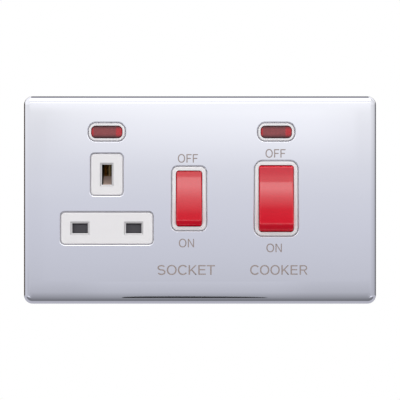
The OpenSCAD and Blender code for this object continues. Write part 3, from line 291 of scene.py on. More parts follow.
def rounded_outline(x, z, w, h, r, side_steps=1):
    """Points and outward normals round a rectangle with round corners: each corner is a quarter circle
    about its own middle, and each straight side is cut into side_steps equal steps."""
    a = np.linspace(0, math.pi / 2, ARC_STEPS)
    signs = np.array([(1, 1), (-1, 1), (-1, -1), (1, -1)])
    angles = (np.arange(4)[:, None] * math.pi / 2 + a).ravel()
    normals = np.stack([np.cos(angles), np.sin(angles)], 1)
    middles = np.repeat(signs * (w / 2 - r, h / 2 - r), ARC_STEPS, axis=0)
    points = middles + r * normals + (x, z)
    if side_steps > 1:
        corner_p, corner_n = points.reshape(4, ARC_STEPS, 2), normals.reshape(4, ARC_STEPS, 2)
        t = np.arange(1, side_steps)[None, :, None] / side_steps
        start, end = corner_p[:, -1:], np.roll(corner_p, -1, 0)[:, :1]
        side_n = np.broadcast_to(corner_n[:, -1:], (4, side_steps - 1, 2))
        points = np.concatenate([corner_p, start + (end - start) * t], 1).reshape(-1, 2)
        normals = np.concatenate([corner_n, side_n], 1).reshape(-1, 2)
    return points, normals


def rings_patch(points, normals, depths, tilts, insets):
    """Carries a section round an outline: for each step of the section, the outline's points move
    inwards by that step's inset, sit at its depth, and face outwards by sine and forwards by cosine of
    its tilt."""
    p = points[None] - normals[None] * insets[:, None, None]
    depths = np.broadcast_to(np.asarray(depths).reshape(len(insets), -1), p.shape[:2])
    grid = np.stack([p[..., 0], depths, p[..., 1]], -1)
    out = np.sin(tilts)[:, None, None] * normals
    front = np.broadcast_to(-np.cos(tilts)[:, None], p.shape[:2])
    return grid_patch(grid, np.stack([out[..., 0], front, out[..., 1]], -1), closed=True)


def wall_patch(points, normals, depths, inset=0.0):
    """Carries an outline, moved inwards by inset, straight back from one depth to another."""
    return rings_patch(points, normals, depths, np.full(2, math.pi / 2), np.full(2, inset))


# Front plate

def bow(x, z):
    """How far the polished face falls back at (x, z), and its slopes: within BOW_REACH of an edge it
    follows a circle of radius BOW_R, which is the square of the distance over twice the radius, added
    for both directions."""
    dx = np.maximum(0, np.abs(x) - (PLATE_W / 2 - BOW_REACH))
    dz = np.maximum(0, np.abs(z) - (PLATE_H / 2 - BOW_REACH))
    return (dx ** 2 + dz ** 2) / (2 * BOW_R), dx / BOW_R * np.sign(x), dz / BOW_R * np.sign(z)


def edge_section():
    """The rolled edge as tilts, insets and depths below the bowed face: a circle of radius BEND_R from
    the bow's slope to BEND_A, then one of ROLL_R to the upright skirt. On a circle the inset falls by the
    radius times the sine of the tilt and the depth grows by the radius times its cosine."""
    start = (BOW_REACH - BEND_IN - BEND_R * math.sin(BEND_A)) / (BOW_R - BEND_R)
    bend = np.linspace(start, BEND_A, BEND_STEPS)
    roll = np.linspace(BEND_A, math.pi / 2, ROLL_STEPS)[1:]
    bend_in = BEND_IN + BEND_R * (math.sin(BEND_A) - np.sin(bend))
    bend_d = BEND_R * (math.cos(start) - np.cos(bend))
    roll_d = bend_d[-1] + ROLL_R * (math.cos(BEND_A) - np.cos(roll))
    return (np.concatenate([bend, roll]), np.concatenate([bend_in, ROLL_R * (1 - np.sin(roll))]),
            np.concatenate([bend_d, roll_d]))


def plate_outline(side_steps=1):
    """The plate's own outline."""
    return rounded_outline(0, 0, PLATE_W, PLATE_H, PLATE_R, side_steps=side_steps)


def plate_openings():
    """The openings as the plate's own edges stand, drawn in by HEM."""
    return [(x, z, w - 2 * HEM, h - 2 * HEM, r - HEM) for x, z, w, h, r in OPENINGS.values()]


def plate_face_patches():
    """The face from the flat middle out to where the edge starts to roll: rings slide in equal steps
    from one round-cornered outline to the other, at the depth that bow() gives. The inner outline's sides
    swell by FLAT_SWELL times one less the square of the place along them, so that no three of their
    points lie in line."""
    tilt, inset, drop = edge_section()
    base, base_n = plate_outline(SIDE_STEPS)
    outer = base - base_n * inset[0]
    cut = 2 * (BOW_REACH + FLAT_MARGIN)
    inner, inner_n = rounded_outline(0, 0, PLATE_W - cut, PLATE_H - cut, FLAT_R, side_steps=SIDE_STEPS)
    along = (inner_n[:, 0] * inner[:, 1] - inner_n[:, 1] * inner[:, 0]) / (PLATE_W / 2)
    inner = inner + inner_n * (1 - along ** 2)[:, None] * FLAT_SWELL
    t = np.linspace(0, 1, FACE_RINGS)[:, None, None]
    p = inner + (outer - inner) * t
    fall, slope_x, slope_z = bow(p[..., 0], p[..., 1])
    grid = np.stack([p[..., 0], FACE_Y + fall, p[..., 1]], -1)
    facing = np.stack([slope_x, -np.ones_like(fall), slope_z], -1)
    facing /= np.linalg.norm(facing, axis=-1, keepdims=True)
    depth = FACE_Y + bow(outer[:, 0], outer[:, 1])[0] + drop[:, None]
    roll = rings_patch(base, base_n, depth, tilt, inset)
    skirt = wall_patch(base, base_n, [depth[-1], np.full(len(base), PLATE_BACK_Y)])
    lips = [rounded_outline(x, z, w + 2 * LIP_R, h + 2 * LIP_R, r + LIP_R)[0]
            for x, z, w, h, r in plate_openings()]
    return [grid_patch(grid, facing, closed=True), flat_patch([inner] + lips, FACE_Y, -1), roll, skirt]


def plate_lip_patches(opening):
    """The edge of one opening: a quarter circle of radius LIP_R turns the face into the opening's wall,
    which runs straight back through the sheet."""
    base, base_n = rounded_outline(*opening)
    tilt = np.linspace(0, math.pi / 2, LIP_STEPS)
    lip = rings_patch(base, -base_n, FACE_Y + LIP_R * (1 - np.cos(tilt)), tilt, LIP_R * (1 - np.sin(tilt)))
    return [lip, wall_patch(base, -base_n, (FACE_Y + LIP_R, FACE_Y + SHEET_T))]


def plate_back_patches():
    """The inside of the plate: the flat back of the sheet, the inner side of the rolled edge, which is a
    circle of the edge's radius less the sheet, and the straight skirt down to its rim. On the rim each
    point of the outer outline is joined to the nearest point of the inner one."""
    base, base_n = plate_outline()
    tilt = np.linspace(0, math.pi / 2, BACK_STEPS)
    inner_r = EDGE_R - SHEET_T
    depth = FACE_Y + EDGE_R - inner_r * np.cos(tilt)
    insets = EDGE_R - inner_r * np.sin(tilt)
    roll = rings_patch(base, base_n, depth, tilt, insets)
    skirt = wall_patch(base, base_n, (FACE_Y + EDGE_R, PLATE_BACK_Y), SHEET_T)
    flipped = [(p, -n, t) for p, n, t in (roll, skirt)]
    holes = [rounded_outline(*opening)[0] for opening in plate_openings()]
    back = flat_patch([base - base_n * EDGE_R] + holes, FACE_Y + SHEET_T, 1)
    beside = np.where(np.arange(1, SIDE_STEPS) <= SIDE_STEPS / 2, ARC_STEPS - 1, ARC_STEPS)
    near = np.arange(4)[:, None] * ARC_STEPS + np.concatenate([np.arange(ARC_STEPS), beside])
    inner = (base - base_n * SHEET_T)[near.ravel() % len(base)]
    lines = [np.insert(loop, 1, PLATE_BACK_Y, axis=1) for loop in (plate_outline(SIDE_STEPS)[0], inner)]
    return flipped + [back, back_strip(*lines, closed=True)]


def front_plate(material):
    """The pressed plate as one closed sheet with six openings."""
    patches = plate_face_patches() + plate_back_patches()
    for opening in plate_openings():
        patches += plate_lip_patches(opening)
    plate = make_piece("polished_plate", patches, material)
    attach(plate, "plate")
    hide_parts("front_plate")


# Rockers

def arc(middle, r, a0, a1, steps, facing=1):
    """Points and normals on a circle in the (y, z) plane from angle a0 to a1: the middle plus r times
    (cos a, sin a), with the normal along or against the radius."""
    a = np.linspace(a0, a1, steps)
    ray = np.stack([np.cos(a), np.sin(a)], 1)
    return np.asarray(middle) + r * ray, facing * ray


def rocker_profile(r, dish, wall):
    """The rocker's section in (y, z) about its pivot, set in from its skin by wall. It runs from the
    back of the lower end up to the back of the upper end: round the drum, round the tip, along the
    hollow face and the same again mirrored. The tip's circle touches both the drum and the hollow's
    circle, so its middle is where two circles about theirs cross. The third value is each point's share
    in the rounding of the ends, which falls evenly from one at the back to none at the tip."""
    tip = TIP_ROUND if wall == 0 else HOLLOW_ROUND
    half = r * math.cos(TIP_A)
    hollow_r = (half ** 2 + dish ** 2) / (2 * dish)
    hollow_middle = dish - r * math.sin(TIP_A) - hollow_r
    drum_r, face_r = r - wall, hollow_r + wall
    a, b, d = drum_r - tip, face_r + tip, -hollow_middle
    y = (b ** 2 - a ** 2 - d ** 2) / (2 * d)
    z = math.sqrt(a ** 2 - y ** 2)
    on_drum = math.atan2(z, y)
    on_face = math.atan2(-z, -d - y) % (2 * math.pi)
    back = math.asin(ROCKER_BACK / drum_r)
    end = arc((0, 0), drum_r, math.pi / 2 - back, on_drum, END_STEPS)
    nose = arc((y, z), tip, on_drum, on_face, TIP_STEPS)
    sweep = math.atan2(z, d + y)
    face = arc((-d, 0), face_r, sweep, -sweep, DISH_STEPS, facing=-1)
    upper_p = np.concatenate([end[0][:-1], nose[0][:-1]])
    upper_n = np.concatenate([end[1][:-1], nose[1][:-1]])
    flip = np.array([1, -1])
    points = np.concatenate([upper_p, face[0], (upper_p * flip)[::-1]])
    normals = np.concatenate([upper_n, face[1], (upper_n * flip)[::-1]])
    fade = np.concatenate([np.linspace(1, 0, END_STEPS - 1), np.zeros(TIP_STEPS - 1)])
    share = np.concatenate([fade, np.zeros(DISH_STEPS), fade[::-1]])
    return points, normals, share


def rocker_skin(points, normals, rounds, w):
    """Sweeps the section across the rocker's width w. Towards each side the skin turns in by a quarter
    circle whose radius is given for each point of the section: the section shrinks along its normals by
    the radius less its cosine part, while x runs out by its sine part."""
    turn = np.linspace(0, math.pi / 2, ROUND_STEPS)
    psi = np.concatenate([-turn[::-1], turn])[None, :, None]
    side = np.repeat([-1, 1], ROUND_STEPS)[None, :, None]
    f = rounds[:, None, None]
    shrink = f * (1 - np.cos(psi))
    yz = points[:, None] - normals[:, None] * shrink
    x = side * (w / 2 - f) + f * np.sin(psi)
    grid = np.concatenate([x, yz], -1)
    facing = np.concatenate([np.broadcast_to(np.sin(psi), x.shape), normals[:, None] * np.cos(psi)], -1)
    return grid, facing


def trunnion_patches(start, end):
    """The stub pins at both sides, turned about x from a profile with a softened end."""
    small = TRUNNION_R - TRUNNION_SOFT
    pin = np.array([(0, start), (TRUNNION_R, start), (TRUNNION_R, start), (TRUNNION_R, end - TRUNNION_SOFT),
                    (small, end), (small, end), (0, end)])
    face = np.array([(0, -1), (0, -1), (1, 0), (1, 0), (0.7, 0.7), (0, 1), (0, 1)])
    return [turned_patch(pin * (1, side), face * (1, side), 0) for side in (-1, 1)]


def stem_patch(foot):
    """A bored tube about y from its foot in the shell, each straight run of its profile with its own
    normal."""
    corners = [(0, foot), (STEM_R, foot), (STEM_R, STEM_L), (BORE_R, STEM_L), (BORE_R, BORE_FRONT),
               (0, BORE_FRONT)]
    faces = [(0, -1), (1, 0), (0, 1), (-1, 0), (0, 1)]
    return turned_patch(np.repeat(corners, 2, axis=0)[1:-1], np.repeat(faces, 2, axis=0), 1)


def rocker_patches(w, r, dish, stems):
    """One rocker about its pivot, upright: the skin, the hollow behind it, both sides, the rim at the
    back, the stub pins and a bored guide tube for each plunger."""
    points, normals, share = rocker_profile(r, dish, 0)
    outer, outer_n = rocker_skin(points, normals, SIDE_ROUND + (END_ROUND - SIDE_ROUND) * share, w)
    points, normals, share = rocker_profile(r, dish, ROCKER_T)
    inner, inner_n = rocker_skin(points, normals, np.full(len(points), HOLLOW_ROUND), w - 2 * ROCKER_T)
    patches = [grid_patch(outer, outer_n), grid_patch(inner, -inner_n)]
    for column, facing in ((0, -1), (-1, 1)):
        patches.append(side_patch(outer[:, column, 1:], outer[0, column, 0], facing))
        patches.append(side_patch(inner[:, column, 1:], inner[0, column, 0], -facing))
    patches += [back_strip(outer[row], inner[row]) for row in (0, -1)]
    patches += [back_strip(outer[[0, -1], column], inner[[0, -1], column]) for column in (0, -1)]
    patches += trunnion_patches(w / 2 - ROCKER_T / 2, w / 2 + TRUNNION_L)
    tube = stem_patch(dish - r * math.sin(TIP_A) + ROCKER_T / 2)
    return patches + [moved(tube, (np.eye(3), (x, 0, 0))) for x in stems]


def rocker(name, node, opening, dish, poles, material):
    """A rocker in its window, leaning to off: its sizes follow the opening that it stands in, and poles
    says at which sides its tubes stand."""
    x, z, w, h, _ = OPENINGS[opening]
    frame_w = 2 * (SEAM + SURROUND_T)
    width = w - frame_w - 2 * ROCKER_SIDE_GAP
    r = math.hypot((h - frame_w) / 2, PIVOT_DEPTH) - ROCKER_GAP
    c, s = math.cos(-LEAN), math.sin(-LEAN)
    move = (np.array([(1, 0, 0), (0, c, -s), (0, s, c)]), (x, PIVOT_Y, z))
    stems = [side * (width / 2 - STEM_GAP - STEM_R) for side in poles]
    patches = [moved(patch, move) for patch in rocker_patches(width, r, dish, stems)]
    piece = make_piece(name, patches, material)
    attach(piece, node + "_body")
    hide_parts(node)


# The shutter's return spring

def shutter_coil(material):
    """A wire on a helix about z, where the node stands: its middle line goes round with the turns and
    rises evenly, but for the first and last turns, which lie closed, and its skin stands off that line by
    the wire's radius."""
    low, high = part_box("shutter_spring")
    height = high.z - low.z
    x, y = (low.x + high.x) / 2, (low.y + high.y) / 2
    pitch = (height - 2 * SPRING_WIRE_R - 2 * SPRING_CLOSED) / (SPRING_TURNS - 2)
    t = np.linspace(0, SPRING_TURNS, SPRING_TURNS * COIL_STEPS + 1)[:, None]
    shut = SPRING_CLOSED * (np.minimum(t, 1) + np.maximum(t - SPRING_TURNS + 1, 0))
    rise = SPRING_WIRE_R + shut + pitch * np.clip(t - 1, 0, SPRING_TURNS - 2)
    a = 2 * math.pi * t
    b = np.linspace(0, 2 * math.pi, WIRE_STEPS, endpoint=False)[None]
    faces = np.stack(np.broadcast_arrays(np.cos(b) * np.cos(a), np.cos(b) * np.sin(a), np.sin(b)), -1)
    coil_r = (high.x - low.x) / 2 - SPRING_WIRE_R
    middles = np.stack([x + coil_r * np.cos(a), y + coil_r * np.sin(a), low.z + rise], -1)
    points = middles + SPRING_WIRE_R * faces
    patches = [grid_patch(points, faces, closed=True)]
    fan = np.array([(0, k, k + 1) for k in range(1, WIRE_STEPS - 1)])
    for row, facing in ((0, -1.0), (-1, 1.0)):
        patches.append((points[row], np.broadcast_to((0.0, facing, 0.0), points[row].shape), fan.copy()))
    piece = make_piece("shutter_coil", patches, material)
    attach(piece, "unit")
    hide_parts("shutter_spring")
    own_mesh(piece)


# Lettering: plain capitals one unit high, each a list of closed outlines, the first the outer one

def ellipse(x, z, rx, rz, a0, a1, steps, square=2.0):
    """Points on an ellipse from angle a0 to a1 in degrees: x plus rx cos a and z plus rz sin a, with the
    cosine and the sine raised to a power, which squares the ellipse where square is over 2."""
    a = np.linspace(a0, a1, steps) * DEG
    c, s = np.cos(a), np.sin(a)
    power = 2 / square
    return np.stack([x + rx * np.sign(c) * np.abs(c) ** power, z + rz * np.sign(s) * np.abs(s) ** power], 1)


def stroke(path, half):
    """The outline of a line of half width half along a path: the path moved to its left, and back along
    its right."""
    along = np.gradient(path, axis=0)
    side = np.stack([-along[:, 1], along[:, 0]], 1) / np.linalg.norm(along, axis=1, keepdims=True) * half
    return np.concatenate([path + side, (path - side)[::-1]])


def letters():
    """Each capital: the space before it, its width, the space after it and its outlines."""
    top = 1 - BAR
    c = stroke(ellipse(0.487, 0.5, 0.425, 0.458, 38, 322, 40, 2.1), STEM / 2 - 0.002)
    mid = 0.46
    e = [(0, 0), (0.74, 0), (0.74, BAR), (STEM, BAR), (STEM, mid), (0.69, mid), (0.69, mid + BAR),
         (STEM, mid + BAR), (STEM, top), (0.725, top), (0.725, 1), (0, 1)]
    low = 0.43
    f = [(0, 0), (STEM, 0), (STEM, low), (0.60, low), (0.60, low + BAR), (STEM, low + BAR), (STEM, top),
         (0.69, top), (0.69, 1), (0, 1)]
    k = [(0, 0), (STEM, 0), (STEM, 0.32), (0.265, 0.455), (0.65, 0), (0.82, 0), (0.365, 0.55), (0.80, 1),
         (0.625, 1), (STEM, 0.495), (STEM, 1), (0, 1)]
    thin = STEM - 0.01
    n = [(0, 0), (thin, 0), (thin, 0.80), (0.655, 0), (0.795, 0), (0.795, 1), (0.67, 1), (0.67, 0.20),
         (0.14, 1), (0, 1)]
    half = 0.4875
    o, o_eye = [ellipse(half, 0.5, half - stem, 0.52 - bar, 0, 351, 40, 2.15)
                for stem, bar in ((0, 0), (STEM, BAR))]
    bowl = ellipse(0.50, 0.715, 0.29, 0.285, -84, 90, 18)
    eye = ellipse(0.49, 0.715, 0.165, 0.167, 90, -90, 14)
    r = [(0, 0), (STEM, 0), (STEM, low), (0.41, low), (0.665, 0), (0.83, 0), *bowl.tolist(), (0, 1)]
    r_eye = [(STEM, top), *eye.tolist(), (STEM, 0.548)]
    upper = ellipse(0.387, 0.727, 0.312, 0.22, 22, 270, 26)
    lower = ellipse(0.397, 0.275, 0.335, 0.232, 90, -158, 26)
    s = stroke(np.concatenate([upper, lower[1:]]), STEM / 2 - 0.004)
    left, right = 0.405 - STEM / 2, 0.405 + STEM / 2
    t = [(left, 0), (right, 0), (right, top), (0.81, top), (0.81, 1), (0, 1), (0, top), (left, top)]
    return {
        "C": (0.061, 0.887, 0.057, [c]),
        "E": (0.12, 0.74, 0.071, [e]),
        "F": (0.12, 0.69, 0.039, [f]),
        "K": (0.106, 0.82, 0.006, [k]),
        "N": (0.106, 0.795, 0.106, [n]),
        "O": (0.054, 2 * half, 0.054, [o, o_eye]),
        "R": (0.123, 0.83, 0.053, [r, r_eye]),
        "S": (0.068, 0.795, 0.065, [s]),
        "T": (0.02, 0.81, 0.02, [t]),
    }


def bowed(outline):
    """A letter's outline with its straight lines bowed by a thousandth of its height, so that no three of
    their points lie in line: each coordinate gains LETTER_BOW times the other one times one less it."""
    u, v = np.array(outline).T
    return np.stack([u + LETTER_BOW * v * (1 - v), v + LETTER_BOW * u * (1 - u)], 1)


def outward(loop):
    """Normals on a closed outline: the line from each point's last neighbour to its next one, turned a
    quarter circle to the outside, which the sign of the outline's area gives."""
    last, after = np.roll(loop, 1, 0), np.roll(loop, -1, 0)
    along = after - last
    area = (loop[:, 0] * after[:, 1] - loop[:, 1] * after[:, 0]).sum()
    out = np.stack([along[:, 1], -along[:, 0]], 1) / np.linalg.norm(along, axis=1, keepdims=True)
    return out * np.sign(area)


def word(name, text, x, z, w, h, material):
    """A printed word: its letters set side by side, scaled so that the whole word is w wide and its
    capitals are h high, as a film of ink on the plate."""
    alphabet = letters()
    total = sum(sum(alphabet[c][:3]) for c in text) - alphabet[text[0]][0] - alphabet[text[-1]][2]
    pen = -alphabet[text[0]][0] - total / 2
    patches = []
    for c in text:
        before, width, after, outlines = alphabet[c]
        loops = [(bowed(loop) + (pen + before, -0.5)) * (w / total, h) + (x, z) for loop in outlines]
        pen += before + width + after
        patches += [flat_patch(loops, FACE_Y - INK_T, -1), flat_patch(loops, FACE_Y, 1)]
        patches += [wall_patch(loop, side * outward(loop), (FACE_Y - INK_T, FACE_Y))
                    for loop, side in zip(loops, (1, -1))]
    piece = make_piece(name, patches, material)
    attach(piece, "plate")


# Shader nodes

def add_node(tree, kind, inputs=None, **settings):
    """A node with its settings, and with each named input either a value or a socket to link from."""
    node = tree.nodes.new(kind)
    for key, value in settings.items():
        setattr(node, key, value)
    for key, value in (inputs or {}).items():
        socket = node.inputs[key]
        if isinstance(value, bpy.types.NodeSocket):
            tree.links.new(value, socket)
        else:
            socket.default_value = value
    return node


def math_node(tree, operation, *values):
    """One step of arithmetic on sockets or numbers."""
    return add_node(tree, "ShaderNodeMath", dict(enumerate(values)), operation=operation).outputs[0]


def apart(tree, value, middle):
    """The distance of a value from a middle."""
    return math_node(tree, "ABSOLUTE", math_node(tree, "SUBTRACT", value, middle))


def place_on(tree, space="Object"):
    """Where a point is in the object's own coordinates, or with space "Normal" how it faces there."""
    return add_node(tree, "ShaderNodeTexCoord").outputs[space]


def axes_of(tree, space="Object"):
    """The same as separate x, y and z."""
    parts = add_node(tree, "ShaderNodeSeparateXYZ", {"Vector": place_on(tree, space)})
    return [parts.outputs[axis] for axis in "XYZ"]


def slope(tree, value, low, high, least=0.0, most=1.0, kind="LINEAR"):
    """least where the value is at low, most where it is at high, a straight line between and level
    beyond."""
    reach = {"From Min": low, "From Max": high, "To Min": least, "To Max": most}
    node = add_node(tree, "ShaderNodeMapRange", {"Value": value, **reach}, interpolation_type=kind)
    return node.outputs["Result"]


def smooth(tree, value, low, high):
    """0 at low, 1 at high and a smooth step between, whichever of the two is greater."""
    return slope(tree, value, low, high, kind="SMOOTHSTEP")


def mix_colours(tree, mask, first, second):
    """The first colour where the mask is 0 and the second where it is 1."""
    shades = {"Factor": mask, 6: first, 7: second}
    return add_node(tree, "ShaderNodeMix", shades, data_type="RGBA").outputs[2]


def new_group(name, inputs, outputs):
    """An empty shader group with float inputs, given as name and default, and named outputs."""
    tree = bpy.data.node_groups.new(name, "ShaderNodeTree")
    for label, default in inputs:
        socket = tree.interface.new_socket(label, in_out="INPUT", socket_type="NodeSocketFloat")
        socket.default_value = default
    for label in outputs:
        tree.interface.new_socket(label, in_out="OUTPUT", socket_type="NodeSocketFloat")
    return tree, tree.nodes.new("NodeGroupInput"), tree.nodes.new("NodeGroupOutput")


def noise(tree, place, scale, detail, roughness=0.5):
    """Noise of a scale and detail on coordinates."""
    inputs = {"Vector": place, "Scale": scale, "Detail": detail, "Roughness": roughness}
    return add_node(tree, "ShaderNodeTexNoise", inputs).outputs["Fac"]


def grain_group():
    """Fine even grain: one noise for the height and a broader one for a slow cloudiness."""
    sizes = [("Grain", 2500), ("Cloud", 60)]
    tree, given, out = new_group("moulded_grain", sizes, ["Height", "Cloudiness"])
    place = place_on(tree)
    tree.links.new(noise(tree, place, given.outputs["Grain"], 3.0, 0.6), out.inputs["Height"])
    tree.links.new(noise(tree, place, given.outputs["Cloud"], 2.0), out.inputs["Cloudiness"])
    return tree


def drawn_group():
    """Drawn metal: noise stretched along x, so that fine lines run along the strip."""
    tree, given, out = new_group("drawn_lines", [("Lines", 900), ("Stretch", 0.06)], ["Height", "Streaks"])
    squeeze = add_node(tree, "ShaderNodeCombineXYZ", {"X": given.outputs["Stretch"], "Y": 1.0, "Z": 1.0})
    stretched = add_node(tree, "ShaderNodeVectorMath", {0: place_on(tree), 1: squeeze.outputs["Vector"]},
                         operation="MULTIPLY")
    lines = noise(tree, stretched.outputs["Vector"], given.outputs["Lines"], 4.0)
    for output in ("Height", "Streaks"):
        tree.links.new(lines, out.inputs[output])
    return tree


# Finishes

GRAIN = grain_group()
DRAWN = drawn_group()
# The part of a broad mask's range over which the roughness drifts
DRIFT = (0.3, 0.7)

# Where the moulding's wells turn dark with painted shade, by depth, and how deep its lead-ins look
WELL_SHADE_DEPTH = (SURROUND_Y + 0.3 * MM, SURROUND_Y + 0.7 * MM)
WELL_PAINTED_SHADE = (0.06, 0.04, 0.045, 1)
LEAD_IN_DEPTH = 1.6
# Where the rockers' gloss coat begins and is full, by the y of the normal
COAT_FACING = (-0.80, -0.94)
# The painted shade in the earth hole: its middle height, and its edges aside, up and down, and back
EARTH_SHADE_Z = 11 * MM
EARTH_SHADE_ASIDE = (5 * MM, 4 * MM)
EARTH_SHADE_ALONG = (7 * MM, 6 * MM)
EARTH_SHADE_BACK = (16 * MM, 12 * MM)
EARTH_PAINTED_SHADE = (0.035, 0.022, 0.015, 1)
# The heights between which the shutter turns to its pale ramp, whose warm tint is painted reflected light
# from the brass
RAMP_Z = (-3 * MM, 0.0)
RAMP_PALE_AND_BOUNCE = (0.90, 0.66, 0.56, 1)
# The lamps behind the lenses: how far left they stand, where they end aside, and the lens's rims
LAMP_LEFT = 0.85 * MM
LAMP_END = (4.3 * MM, 5.0 * MM)
CLEAR_SHADE = (0.46, 0.020, 0.030, 1)
RIM_MIDDLE_Z = NEON_Z + 0.1 * MM
RIM_DARK = (0.8 * MM, 2.6 * MM)
RIM_SHADE = (0.05, 0.012, 0.016, 1)


def bare_tree(owner):
    """The emptied node tree of a material or a world."""
    owner.use_nodes = True
    owner.node_tree.nodes.clear()
    return owner.node_tree


def blank_material(name):
    """A new material with only a Principled shader and its output."""
    material = bpy.data.materials.new(name)
    tree = bare_tree(material)
    shader = add_node(tree, "ShaderNodeBsdfPrincipled")
    output = add_node(tree, "ShaderNodeOutputMaterial", {"Surface": shader.outputs["BSDF"]})
    return material, tree, shader, output


def add_bump(tree, shader, height, distance, **under):
    """Gives a shader a bump by a height, which deepens the one under it where there is one."""
    inputs = {"Height": height, "Strength": 1.0, "Distance": distance, **under}
    tree.links.new(add_node(tree, "ShaderNodeBump", inputs).outputs["Normal"], shader.inputs["Normal"])


def surface(name, dark, light, rough, group, group_inputs, bump_mm, **constants):
    """A finish whose colour drifts between two close shades and whose roughness drifts between two
    values with the group's broad mask, with a bump of bump_mm from the group's height."""
    material, tree, shader, _ = blank_material(name)
    detail = add_node(tree, "ShaderNodeGroup", group_inputs, node_tree=group)
    mask = detail.outputs[1]
    tree.links.new(mix_colours(tree, mask, (*dark, 1), (*light, 1)), shader.inputs["Base Color"])
    tree.links.new(slope(tree, mask, *DRIFT, *rough), shader.inputs["Roughness"])
    add_bump(tree, shader, detail.outputs["Height"], bump_mm * MM)
    for key, value in constants.items():
        shader.inputs[key.replace("_", " ")].default_value = value
    return material


def shader_of(material):
    """A material's Principled shader."""
    return next(node for node in material.node_tree.nodes if node.type == "BSDF_PRINCIPLED")


def blend_by(material, mask, other):
    """Turns a material's base colour towards another one by a mask socket."""
    tree, colour = material.node_tree, shader_of(material).inputs["Base Color"]
    tree.links.new(mix_colours(tree, mask, colour.links[0].from_socket, other), colour)


def polished_steel():
    return surface("polished_steel", (0.897, 0.900, 0.977), (0.905, 0.908, 0.985), (0.015, 0.022), GRAIN,
                   {"Grain": 900, "Cloud": 40}, 0.00002, Metallic=1.0)


def white_moulding():
    """White moulding with painted shade in the wells round the rockers, which makes the gaps beside them
    dark, and a lead-in round each hole: the height falls in step with the distance to the hole's edge."""
    material = surface("white_moulding", (0.80, 0.78, 0.80), (0.82, 0.80, 0.82), (0.32, 0.42), GRAIN,
                       {"Grain": 4000, "Cloud": 90}, 0.0015, IOR=1.5)
    tree, shader = material.node_tree, shader_of(material)
    x, y, z = axes_of(tree)
    deep = smooth(tree, y, *WELL_SHADE_DEPTH)
    wells = []
    for name in ("socket_switch", "cooker_switch"):
        cx, cz, w, h, _ = OPENINGS[name]
        across = math_node(tree, "LESS_THAN", apart(tree, x, cx), w / 2 - SEAM - SURROUND_T / 2)
        along = math_node(tree, "LESS_THAN", apart(tree, z, cz), h / 2 - SEAM - SURROUND_T / 2)
        wells.append(math_node(tree, "MULTIPLY", across, along))
    inside = math_node(tree, "MAXIMUM", *wells)
    # Painted shade: the wells go near black behind the rockers, so that the gaps round them look dark.
    blend_by(material, math_node(tree, "MULTIPLY", inside, deep), WELL_PAINTED_SHADE)
    gaps = []
    for cx, cz, w, h in HOLES:
        across = math_node(tree, "SUBTRACT", apart(tree, x, cx), w / 2)
        along = math_node(tree, "SUBTRACT", apart(tree, z, cz), h / 2)
        gaps.append(math_node(tree, "MAXIMUM", across, along))
    gap = math_node(tree, "MINIMUM", math_node(tree, "MINIMUM", gaps[0], gaps[1]), gaps[2])
    height = slope(tree, gap, 0.0, LEAD_IN, 0.0, LEAD_IN)
    add_bump(tree, shader, height, LEAD_IN_DEPTH, Normal=shader.inputs["Normal"].links[0].from_socket)
    return material


def housing_plastic():
    return surface("housing_plastic", (0.74, 0.73, 0.72), (0.80, 0.79, 0.78), (0.42, 0.55), GRAIN,
                   {"Grain": 2600, "Cloud": 70}, 0.004, IOR=1.5)


def red_rocker():
    """Deep red moulding with a gloss coat on the hollow face, which thins out over the turned ends."""
    material = surface("red_rocker", (0.60, 0.003, 0.017), (0.66, 0.005, 0.022), (0.06, 0.09), GRAIN,
                       {"Grain": 3000, "Cloud": 120}, 0.0002, IOR=1.25, Coat_IOR=1.75, Coat_Roughness=0.05)
    tree = material.node_tree
    _, facing, _ = axes_of(tree, "Normal")
    tree.links.new(slope(tree, facing, *COAT_FACING), shader_of(material).inputs["Coat Weight"])
    return material


def plunger_nylon():
    return surface("plunger_nylon", (0.78, 0.76, 0.70), (0.84, 0.82, 0.77), (0.35, 0.45), GRAIN,
                   {"Grain": 3000, "Cloud": 200}, 0.001, IOR=1.53)


def spring_steel():
    return surface("spring_steel", (0.55, 0.55, 0.56), (0.66, 0.66, 0.67), (0.22, 0.34), DRAWN,
                   {"Lines": 2500, "Stretch": 0.3}, 0.0006, Metallic=1.0)


def brass():
    """Drawn brass, with painted shade deep in the earth hole, where the earth pin goes in."""
    material = surface("brass", (0.72, 0.48, 0.20), (0.82, 0.58, 0.27), (0.24, 0.38), DRAWN,
                       {"Lines": 1600, "Stretch": 0.05}, 0.0010, Metallic=1.0)
    tree = material.node_tree
    x, y, z = axes_of(tree)
    across = smooth(tree, apart(tree, x, SOCKET_X), *EARTH_SHADE_ASIDE)
    along = smooth(tree, apart(tree, z, EARTH_SHADE_Z), *EARTH_SHADE_ALONG)
    inside = math_node(tree, "MULTIPLY", across, along)
    # Painted shade: the brass goes near black deep in the earth hole.
    blend_by(material, math_node(tree, "MULTIPLY", inside, smooth(tree, y, *EARTH_SHADE_BACK)), EARTH_PAINTED_SHADE)
    return material


def contact_silver():
    return surface("contact_silver", (0.80, 0.79, 0.77), (0.88, 0.87, 0.85), (0.20, 0.30), GRAIN,
                   {"Grain": 3000, "Cloud": 500}, 0.001, Metallic=1.0)


def shutter_plastic():
    """Dark grey over the two lower holes, and a pale ramp above them, whose warm tint is painted reflected
    light from the brass.
    """
    material = surface("shutter_plastic", (0.075, 0.070, 0.085), (0.095, 0.090, 0.105), (0.40, 0.52), GRAIN,
                       {"Grain": 3000, "Cloud": 200}, 0.002, IOR=1.5)
    tree = material.node_tree
    _, _, z = axes_of(tree)
    # Painted reflected light: the ramp's paleness is its own, its warm tint stands for light thrown on it by
    # the brass.
    blend_by(material, slope(tree, z, *RAMP_Z), RAMP_PALE_AND_BOUNCE)
    return material


